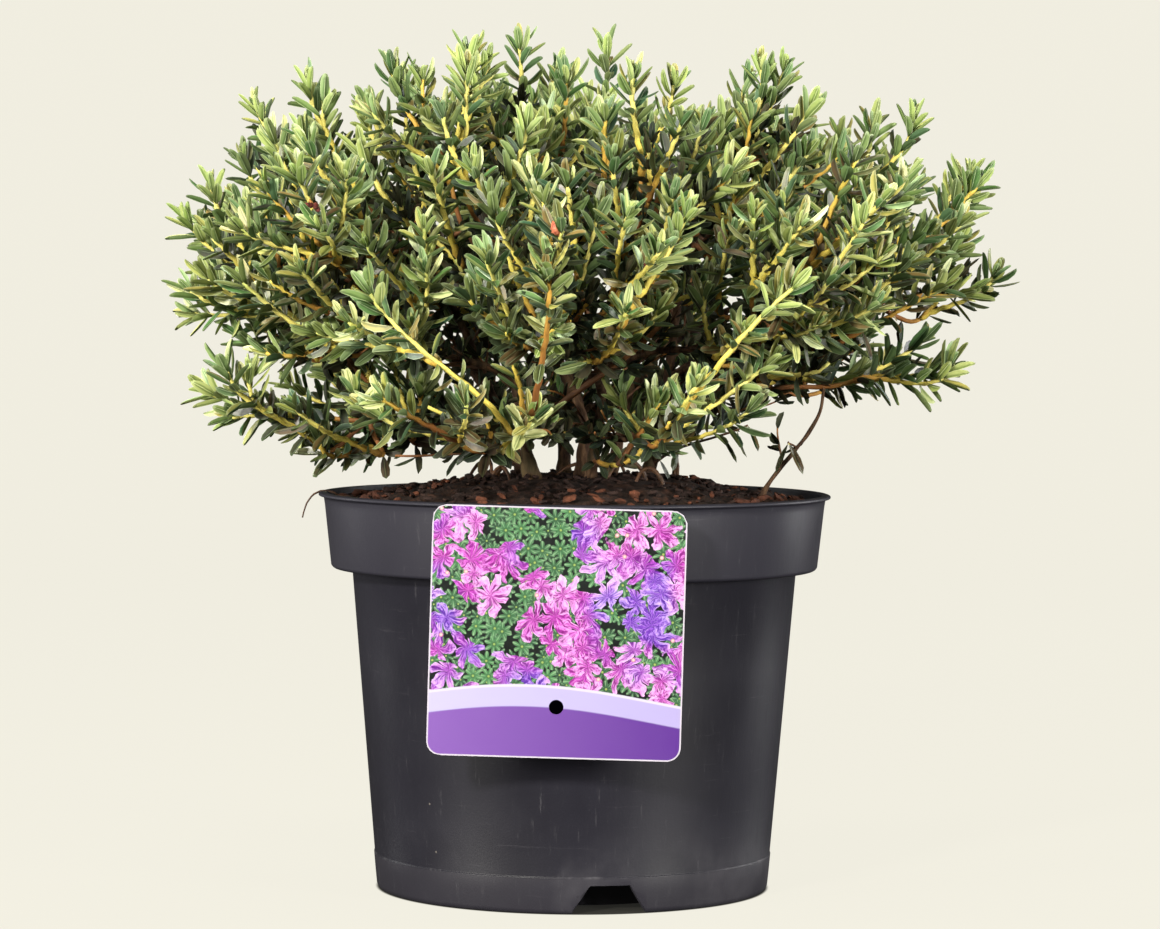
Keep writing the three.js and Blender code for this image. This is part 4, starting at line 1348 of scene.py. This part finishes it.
def limb_piece(name, members, seed):
    """Limbs with bark: rings along each centre line, the radius roughened by long-grained noise."""
    vertices, triangles, quads = [], [], []
    start = 0
    for member in members:
        line, radius = resample(*limbs[member], LIMB["step"])
        if member.startswith("bough"):
            line = np.concatenate([line[:1] - unit(line[1:2] - line[:1]) * LIMB["buried"], line])
            radius = np.concatenate([radius[:1], radius])
        tangent = unit(np.gradient(line, axis=0))
        skin = line[:, None] + spokes(tangent[None], LIMB["sides"])[0] * radius[:, None, None]
        grain = wave_noise(skin * LIMB["grain_stretch"], LIMB["fine_grain"], seed)
        grain += wave_noise(skin, LIMB["coarse_grain"], seed + 1)
        radii = radius[:, None] * (LIMB["slimness"] + LIMB["roughness"] * grain)
        points, (caps, sheet) = tubes(line[None], tangent[None], radii, LIMB["sides"])
        vertices.append(points)
        triangles.append(caps + start)
        quads.append(sheet + start)
        start += len(points)
    faces = [np.concatenate(triangles), np.concatenate(quads)]
    make_piece(name, np.concatenate(vertices), faces, bark, "bark", members)


limb_piece("stems", [n for n in limb_names if n.startswith("stem")], 51)
limb_piece("boughs", [n for n in limb_names if n.startswith("bough")], 52)

# ---------------------------------------------------------------- pot


def wall_radius(z):
    """The wall's outside at a height, a straight taper from the foot to the shoulder."""
    foot = POT["foot_radius"] - POT["foot_step"]
    return mix(foot, POT["shoulder_radius"], z / POT["collar_bottom"])


def notch_height(x):
    """Height of a notch at x across it: a trapezoid."""
    half_foot, half_top = NOTCH["foot_width"] / 2, NOTCH["top_width"] / 2
    return NOTCH["height"] * np.clip((half_foot - np.abs(x)) / (half_foot - half_top), 0, 1)


def rounded(points, radius, steps=3):
    """A profile with each inner corner cut back by radius and bridged by a quadratic curve."""
    result = [points[0]]
    for before, corner, after in zip(points[:-2], points[1:-1], points[2:]):
        into, out = before - corner, after - corner
        cut = min(radius, 0.45 * np.linalg.norm(into), 0.45 * np.linalg.norm(out))
        a, b = corner + unit(into) * cut, corner + unit(out) * cut
        for t in np.linspace(0, 1, steps):
            result.append((1 - t) ** 2 * a + 2 * t * (1 - t) * corner + t * t * b)
    result.append(points[-1])
    return np.array(result)


def pot_profile():
    """Radius and height from the middle of the underside, round the foot, up and back inside."""
    p = POT
    wall, foot, foot_top = p["wall"], p["foot_radius"], wall_radius(p["foot_height"])
    ring_inside, pad_top = foot - p["foot_ring"], p["pad_radius"] + p["channel_draft"]
    low, inside_low = p["collar_bottom"], p["collar_bottom"] + wall
    lip_low, top, rim = p["height"] - p["lip_height"], p["height"], p["collar_top_radius"]
    floor_top = p["channel_height"] + p["floor"]
    soft = 0.8  # how far the corners of the collar and the lip are cut back
    corners = [
        [0.01, 0],
        [p["pad_radius"], 0],
        [pad_top, p["channel_height"]],
        [ring_inside - p["foot_chamfer"], p["channel_height"]],
        [ring_inside, 0],
        [foot - p["foot_chamfer"], 0],
        [foot, 1.2],
        [mix(foot, foot_top + p["foot_step"], 0.5), 6.2],
        [foot_top + p["foot_step"], p["foot_height"]],
        [foot_top, p["foot_height"] + p["foot_step"]],
        [wall_radius(40), 40],
        [wall_radius(75), 75],
        [p["shoulder_radius"], low - 0.01],
        [p["collar_radius"] - soft, low],
        [p["collar_radius"], low + soft],
        [rim - 0.4, lip_low - 2.5],
        [rim, lip_low],
        [p["lip_radius"], lip_low + soft / 2],
        [p["lip_radius"], top - soft / 2],
        [p["lip_radius"] - soft, top],
        [rim - wall, top],
        [rim - wall, lip_low],
        [p["collar_radius"] - wall, inside_low],
        [p["shoulder_radius"] - wall, inside_low],
        [wall_radius(floor_top) - wall, floor_top],
        [pad_top - wall, floor_top],
        [p["pad_radius"] - wall, p["floor"]],
        [0.01, p["floor"]],
    ]
    return rounded(np.array(corners, float), 0.45)


def pot_azimuths(notches, columns=144):
    """Even steps round the pot, with each corner of a notch and a step close beside it put in."""
    azimuth = np.arange(0, 360, 360 / columns)
    corners = []
    for half in (NOTCH["top_width"] / 2, NOTCH["foot_width"] / 2):
        edge = math.degrees(math.asin(half / POT["foot_radius"]))
        corners += [notches - edge, notches + edge]
    corners = np.concatenate(corners) % 360
    keep = np.abs((azimuth[:, None] - corners + 180) % 360 - 180).min(1) > 0.5
    return np.sort(np.concatenate([azimuth[keep], corners, corners + 0.25, corners - 0.25]) % 360)


def make_pot():
    """The profile turned round the axis; in each notch the foot ring's points are lifted to it."""
    notches = NOTCH["azimuth"] + np.arange(NOTCH["count"]) * 360 / NOTCH["count"]
    azimuth = pot_azimuths(notches)
    radius, height = pot_profile().T
    off = (azimuth[:, None] - notches + 180) % 360 - 180
    closest = off[np.arange(len(azimuth)), np.abs(off).argmin(1)]
    lift = notch_height(POT["foot_radius"] * np.sin(np.radians(closest)))
    ring_inside = POT["foot_radius"] - POT["foot_ring"] - POT["foot_chamfer"] - 0.2
    ring = (radius > ring_inside) & (height < POT["channel_height"])
    z = np.where(ring, np.maximum(height, lift[:, None]), height)
    vertices = polar(radius, np.radians(azimuth)[:, None], z)
    rows, columns = z.shape
    wrap, last = np.arange(columns - 1), (rows - 1) * columns
    seam = np.stack([last + wrap, last + wrap + 1, wrap + 1, wrap], -1)
    quads = np.concatenate([grid_faces(rows, columns), seam])[:, ::-1]
    caps = []
    for k, column in enumerate((0, columns - 1)):
        i = np.arange(rows) * columns + column
        fan = np.stack([np.full(rows, rows * columns + k), np.roll(i, -1), i], -1)
        caps.append(fan[:, ::-1] if k else fan)
    points = np.concatenate([vertices.reshape(-1, 3), [[0, 0, 0], [0, 0, POT["floor"]]]])
    faces = [np.concatenate(caps), quads]
    piece = make_piece("pot_shell", points, faces, pot_material("pot_plastic"), "pot", ["pot"])
    piece.data.set_sharp_from_angle(angle=math.radians(38))


make_pot()

# ---------------------------------------------------------------- soil

# Chips of bark: how many, shortest and longest, how far out from the axis they lie, their tones.
CHIPS = [
    dict(name="bark_chips_dark", count=900, size=(1.4, 4.6), seed=71, ring=(2, 79),
         stops=[(0.3, "160E0B"), (0.55, "2B1C17"), (0.75, "443024")]),
    dict(name="bark_chips_red", count=150, size=(1.6, 5.5), seed=72, ring=(40, 79),
         stops=[(0.3, "2C1812"), (0.55, "55301F"), (0.78, "7E4A34")]),
]
CHUNKS = dict(count=7, size=(5.0, 8.5), seed=73, ring=(68, 77),
              stops=[(0.3, "2A1610"), (0.55, "4C2C1F"), (0.78, "744632")])
CHUNK_SWEEPS = {"left": (176, 216), "right": (-42, -8)}  # near the rim, by azimuth


def make_soil():
    """A lumpy mound: rings from the middle out, then down the inside of the pot and back."""
    edge = POT["collar_top_radius"] - POT["wall"] - 0.5
    top_rings, low = 60, SOIL["underside"]
    rings = np.concatenate([np.linspace(0.5, edge, top_rings), [edge - 1.6, edge - 10.0, 0.5]])
    level = np.concatenate([soil_height(rings[:top_rings]), [low + 0.6, low, low]])
    points = polar(rings[:, None], circle(200), level[:, None])
    lumps = 0.9 * smooth_step(0.3, 1.2, wave_noise(points, 0.6, 64))
    for frequency, seed, height in ((0.35, 61, 0.8), (1.1, 62, 0.55), (2.3, 63, 0.35)):
        lumps += wave_noise(points, frequency, seed) * height
    fade = smooth_step(0, 4, edge - rings[:top_rings])[:, None]
    points[:top_rings, :, 2] += lumps[:top_rings] * fade
    middles = [[0, 0, points[0, :, 2].mean()], [0, 0, low]]
    vertices = np.concatenate([points.reshape(-1, 3), middles])
    faces = [table[:, ::-1] for table in stack_faces(*points.shape[:2])]
    stops = [(0.3, "120B09"), (0.5, "241812"), (0.64, "3C261B"), (0.8, "5C3828")]
    skin = soil_material("compost", stops, 260.0)
    make_piece("compost", vertices, faces, skin, "soil", ["soil"])


def chips(name, count, size, stops, seed, ring, sweep=(0, 360)):
    """Bark chips: six-sided flat shards, turned at random and set in the compost."""
    local = np.random.default_rng(seed)
    sides = 6
    radius = np.sqrt(local.uniform(ring[0] ** 2, ring[1] ** 2, count))
    azimuth = np.radians(local.uniform(*sweep, count))
    centre = polar(radius, azimuth, soil_height(radius))
    length = local.uniform(*size, count)
    breadth = length * local.uniform(0.35, 0.75, count)
    thick = length * local.uniform(0.14, 0.32, count)
    centre[:, 2] += thick * 0.5 + local.uniform(-0.3, 1.2, count)
    turn = local.uniform(0, 2 * math.pi, count)
    along = unit(polar(1.0, turn, 0.28 * local.normal(size=count)))
    lean = local.normal(size=(2, count)) * 0.3
    up = unit(np.stack([*lean, np.ones(count)], -1))
    side = unit(np.cross(up, along))
    up = np.cross(along, side)
    outline = polar(1.0, circle(sides), 0.0)[:, :2] * local.uniform(0.7, 1.15, (count, sides, 1))
    layers = []
    for height, shrink in ((-1.0, 0.75), (-0.3, 1.0), (0.45, 0.95), (1.0, 0.6)):
        flat = outline * local.uniform(0.85, 1.1, (count, sides, 1)) * shrink
        h = height + 0.15 * local.normal(size=(count, sides))
        shares = flat[..., 0], flat[..., 1], h
        axes = [(v * (0.5 * extent)[:, None])[:, None] for v, extent in
                ((along, length), (side, breadth), (up, thick))]
        layers.append(centre[:, None] + sum(s[..., None] * v for s, v in zip(shares, axes)))
    skin = np.stack(layers, 1)
    poles = np.stack([skin[:, 0].mean(1), skin[:, -1].mean(1)], 1)
    vertices = np.concatenate([skin.reshape(count, -1, 3), poles], 1)
    faces = copies(stack_faces(len(layers), sides), count, vertices.shape[1])
    material = soil_material(name, stops, 180.0)
    flatten(make_piece(name, vertices.reshape(-1, 3), faces, material, "soil"))


make_soil()
for kind in CHIPS:
    chips(**kind)
for side, sweep in CHUNK_SWEEPS.items():
    chips("bark_chunks_" + side, sweep=sweep, **CHUNKS)

# ---------------------------------------------------------------- label

# Layers of leaf rosettes: cells for each card width, fill, seed, dark and light tone.
ROSETTES = [(19.0, 0.62, 3.0, "0A2418", "224C32"), (15.0, 0.6, 31.0, "0E2E20", "3C6C42")]
# Layers of flowers: cells for each card width, fill, seed and petals.
FLOWERS = [(7.2, 0.7, 19.0, 7), (8.4, 0.7, 43.0, 6), (10.5, 0.74, 67.0, 5)]


def label_material(name):
    """Printed card: flowers over leaf rosettes, a lilac ribbon and a violet foot.

    Every motif sits in a scattered cell, and fills it where the distance from the cell's own
    point is under fill (core + (1 - core) |cos(n a / 2)|^sharp), with noise along its edge.
    """
    s = Skin(name, 0.3, 0.5)
    x, y, _ = s.split(s.map_place())
    plane = s.node("CombineXYZ", x, y).outputs[0]
    frill = s.math("SUBTRACT", s.noise(plane, 75.0, 4.0, 0.65), 0.5)
    drift = s.noise(plane, 11.0, 2.0, 0.5, output="Color")
    drift = s.vector("SUBTRACT", drift, (0.5, 0.5, 0.5))
    drifted = s.vector("MULTIPLY_ADD", drift, (0.09, 0.09, 0.0), plane)

    def cells_of(scale, seed, at):
        """Scattered cells: the distance and angle from each one's point, and its own numbers."""
        laid = {"Scale": (scale, scale, 1.0), "Location": (seed, seed, 0)}
        spread = s.node("Mapping", Vector=at, **laid).outputs[0]
        flat = {"voronoi_dimensions": "2D"}
        cells = s.node("TexVoronoi", settings=flat, Vector=spread, Scale=1.0, Randomness=0.85)
        across, up, _ = s.split(s.vector("SUBTRACT", spread, cells.outputs["Position"]))
        own = s.node("SeparateColor", cells.outputs["Color"]).outputs
        turned = s.math("MULTIPLY_ADD", own[0], 6.28, s.math("ARCTAN2", up, across))
        return cells.outputs["Distance"], turned, own

    def petals_of(distance, turned, petals, fill, core, sharp, ragged):
        """Share of the way out to the motif's edge, and the petal wave."""
        petal = s.math("ABSOLUTE", s.math("COSINE", s.times(turned, petals / 2)))
        tooth = s.math("POWER", petal, sharp)
        reach = s.math("MULTIPLY_ADD", tooth, (1 - core) * fill, core * fill)
        return s.math("MULTIPLY_ADD", frill, ragged, s.math("DIVIDE", distance, reach)), petal

    def shown(share, own, chance):
        """1 inside the motifs of the cells whose own number is over the chance, else 0."""
        return s.times(s.span(share, 1.03, 0.96), s.math("GREATER_THAN", own[1], chance))

    picture = s.blend(s.span(frill, -0.1, 0.2), "040606", "0E1914")
    for scale, fill, seed, dark, light in ROSETTES:
        distance, turned, own = cells_of(scale, seed, plane)
        share, petal = petals_of(distance, turned, 7, fill, 0.22, 0.8, 0.25)
        leafy = s.blend(own[1], dark, light)
        leafy = s.blend(s.span(share, 0.6, 1.0, 0.0, 0.4), leafy, "688864")
        leafy = s.blend(s.span(petal, 0.94, 0.99, 0.0, 0.5), leafy, "8CA884")
        leafy = s.blend(s.span(share, 0.42, 0.1, 0.0, 0.85), leafy, "0C2416")
        leafy = s.blend(s.span(distance, 0.09, 0.05, 0.0, 0.7), leafy, "94A85A")
        picture = s.blend(shown(share, own, 0.25), picture, leafy)
    violet = s.times(s.span(s.noise(plane, 2.6, 2.0, 0.5), 0.46, 0.6), 0.8)
    deep_tone = s.blend(violet, "660E60", "321A80")
    mid_tone = s.blend(violet, "A63CA0", "6442AC")
    pale_tone = s.blend(violet, "D4A2D4", "A494D4")
    for scale, fill, seed, petals in FLOWERS:
        distance, turned, own = cells_of(scale, seed, drifted)
        share, petal = petals_of(distance, turned, petals, fill, 0.3, 1.1, 0.6)
        outward = s.math("MULTIPLY_ADD", own[2], 9.0, distance)
        fibre = s.node("CombineXYZ", s.math("COSINE", turned), s.math("SINE", turned), outward)
        streaks = s.noise(fibre.outputs[0], 4.5, 4.0, 0.75)
        tone = s.blend(s.span(streaks, 0.42, 0.56), deep_tone, mid_tone)
        paled = s.math("MULTIPLY_ADD", own[0], 0.16, streaks)
        paled = s.span(s.math("MULTIPLY_ADD", share, 0.24, paled), 0.68, 0.94)
        tone = s.blend(paled, tone, pale_tone)
        tone = s.blend(s.span(petal, 0.45, 0.12, 0.0, 0.7), tone, deep_tone)
        comb = s.math("ABSOLUTE", s.math("SINE", s.times(turned, 4.5)))
        thread = s.times(s.span(comb, 0.1, 0.04), s.span(distance, 0.46, 0.36))
        tone = s.blend(s.times(thread, 0.6), tone, "E0C8DC")
        picture = s.blend(shown(share, own, 0.6), picture, tone)
    distance, _, own = cells_of(12.0, 57.0, plane)
    bud = s.times(s.span(distance, 0.12, 0.09), s.math("GREATER_THAN", own[1], 0.86))
    bud_tone = s.blend(s.span(distance, 0.02, 0.11), "C8AEA6", "94506A")
    picture = s.blend(bud, picture, bud_tone)
    sway = s.math("SINE", s.math("MULTIPLY_ADD", x, 3.1, 3.5))
    ribbon = s.math("SUBTRACT", y, s.math("MULTIPLY_ADD", sway, -0.055, 0.15))
    picture = s.blend(s.span(ribbon, 0.09, 0.086), picture, "B0AABC")
    picture = s.blend(s.span(ribbon, 0.08, 0.076), picture, s.blend(x, "9E99BC", "9188B2"))
    picture = s.blend(s.span(ribbon, 0.003, -0.003), picture, s.blend(x, "6C4A90", "4A2674"))
    beyond = []
    for place, size in ((x, LABEL["width"]), (y, LABEL["height"])):
        from_middle = s.math("ABSOLUTE", s.math("SUBTRACT", place, 0.5))
        past = s.math("MULTIPLY_ADD", from_middle, size, LABEL["corner"] - size / 2)
        beyond.append(s.math("POWER", s.math("MAXIMUM", past, 0.0), 2.0))
    from_corner = s.math("SQRT", s.math("ADD", *beyond))
    edge = LABEL["corner"] - LABEL["border"]
    picture = s.blend(s.span(from_corner, edge - 0.1, edge + 0.1), picture, "ACA6B2")
    return s.finish(picture, s.span(s.noise(plane, 9.0, 3.0, 0.6), 0.3, 0.7, 0.3, 0.36))


def rounded_edge(start, ways):
    """Where each way from a point inside meets the card's edge: steps of the distance left.

    The distance to a rectangle with round corners is |max(|p| - half + c, 0)| - c.
    """
    straight = np.array([LABEL["width"], LABEL["height"]]) / 2 - LABEL["corner"]
    reach = np.zeros(len(ways))
    for _ in range(80):
        past = np.abs(start + ways * reach[:, None]) - straight
        outside = np.linalg.norm(np.maximum(past, 0), axis=1)
        reach += LABEL["corner"] - outside - np.minimum(past.max(1), 0)
    return start + ways * reach[:, None]


def make_label():
    """A card with round corners and a punched hole: rings of points from the hole to the rim."""
    count = 192
    hole = np.array(LABEL["hole"])
    ray = polar(1.0, circle(count), 0.0)[:, :2]
    start = hole + ray * LABEL["hole_radius"]
    shares = np.array([0.0, 0.05, 0.2, 0.45, 0.75, 0.97, 1.0])[:, None, None]
    flat = start + (rounded_edge(hole, ray) - start) * shares
    low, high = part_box("label")
    centre = (np.array(low) + np.array(high)) / MM / 2
    turn = math.radians(LABEL["turn"])
    x, y = flat[..., 0], flat[..., 1]
    across = x * math.cos(turn) + y * math.sin(turn)
    upward = -x * math.sin(turn) + y * math.cos(turn)
    depths = centre[1] + np.array([-0.5, 0.5])[:, None, None] * LABEL["thickness"]
    sheets = np.broadcast_arrays(centre[0] + across, depths, centre[2] + upward)
    vertices = np.stack(sheets, -1).reshape(-1, 3)
    rows = len(shares)
    size, rim = rows * count, (rows - 1) * count
    k = np.arange(count)
    j = (k + 1) % count
    face = grid_faces(rows, count, closed=True)
    rim_quads = np.stack([rim + k, rim + j, size + rim + j, size + rim + k], -1)
    hole_quads = np.stack([j, k, size + k, size + j], -1)
    quads = np.concatenate([face, size + face[:, ::-1], rim_quads, hole_quads])
    uv = 0.5 + np.concatenate([flat, flat]).reshape(-1, 2) / [LABEL["width"], LABEL["height"]]
    skin = label_material("label_print")
    corners = uv[quads.ravel()]
    flatten(make_piece("label_card", vertices, [quads], skin, "label", ["label"], corners))


make_label()

# ---------------------------------------------------------------- stage, light and camera

CREAM = srgb("F0EDE0")
# The floor's profile, radius and height: level, then up into a backdrop far behind and around.
SWEEP = [(900, 0), (1500, 0), (1900, 110), (2150, 420), (2250, 1000), (2280, 2600)]
# Soft boxes: name, place and target in metres, size, power and colour.
LIGHTS = [
    ("key_light", (-0.65, -1.3, 0.72), (0, 0, 0.19), (0.15, 0.15), 30, (1.0, 0.97, 0.88)),
    ("left_box", (-1.15, -0.8, 0.28), (0, 0, 0.17), (0.35, 0.4), 20, (1.0, 0.97, 0.9)),
    ("right_box", (1.1, -0.9, 0.28), (0, 0, 0.16), (0.35, 0.4), 25, (1.0, 0.98, 0.92)),
    ("top_box", (-0.1, -0.3, 1.4), (0, 0, 0.2), (0.3, 0.3), 5, (1.0, 0.98, 0.92)),
    ("top_back", (0.2, 0.8, 1.2), (0, 0, 0.2), (0.8, 0.6), 1.8, (1, 1, 1)),
    ("right_rim", (1.2, 0.7, 0.35), (0, 0, 0.12), (0.25, 0.9), 8, (1, 1, 1)),
    ("left_rim", (-1.2, 0.6, 0.35), (0, 0, 0.12), (0.25, 0.9), 4, (1, 1, 1)),
    ("front_fill", (0.0, -1.6, 0.68), (0, 0, 0.15), (0.9, 0.4), 4, (1.0, 0.98, 0.93)),
]
WORLD_STRENGTH = 0.06


def stand(name, data):
    """An object of the stage, in the scene."""
    made = bpy.data.objects.new(name, data)
    bpy.context.scene.collection.objects.link(made)
    return made


def make_stage(drop=0.05, sides=96):
    """The sweep's profile turned round the axis, a little under the ground."""
    radius, height = np.array(SWEEP, float).T[..., None]
    rings = polar(radius, circle(sides), height - drop).reshape(-1, 3)
    points = np.concatenate([rings, [[0, 0, -drop]]])
    quads = grid_faces(len(SWEEP), sides, closed=True)[:, ::-1]
    k = np.arange(sides)
    fan = np.stack([np.full(sides, len(rings)), k, (k + 1) % sides], -1)
    mesh = bpy.data.meshes.new("floor")
    mesh.from_pydata((points * MM).tolist(), [], fan.tolist() + quads.tolist())
    mesh.polygons.foreach_set("use_smooth", np.ones(len(mesh.polygons), bool))
    mesh.materials.append(paper_material("paper_sweep", CREAM))
    floor = stand("floor", mesh)
    floor.visible_diffuse = False
    floor.visible_glossy = False


def soft_box(name, place, target, size, power, colour):
    """A rectangular light that faces a target."""
    light = bpy.data.lights.new(name, "AREA")
    light.shape = "RECTANGLE"
    light.size, light.size_y = size
    light.energy = power
    light.color = colour
    lamp = stand(name, light)
    lamp.location = place
    lamp.rotation_euler = (Vector(target) - Vector(place)).to_track_quat("-Z", "Y").to_euler()


def make_camera():
    """A long lens a little above the rim, level to within a degree or two."""
    camera = bpy.data.cameras.new("camera")
    camera.sensor_width = CAMERA["sensor"]
    camera.lens = CAMERA["sensor"] * CAMERA["focal"] / CAMERA["frame"]
    camera.clip_end = 20
    tilt = Matrix.Rotation(math.radians(90 - CAMERA["down"]), 4, "X")
    roll = Matrix.Rotation(math.radians(CAMERA["roll"]), 4, "Z")
    view = stand("camera", camera)
    view.matrix_world = Matrix.Translation(Vector(EYE * MM)) @ tilt @ roll
    bpy.context.scene.camera = view


def make_world():
    """A faint cream light from all sides."""
    world = bpy.data.worlds.new("studio")
    world.use_nodes = True
    background = world.node_tree.nodes["Background"]
    background.inputs[0].default_value = (*CREAM, 1.0)
    background.inputs[1].default_value = WORLD_STRENGTH
    bpy.context.scene.world = world


make_stage()
make_camera()
for light in LIGHTS:
    soft_box(*light)
make_world()
bpy.context.scene.view_settings.view_transform = "Standard"
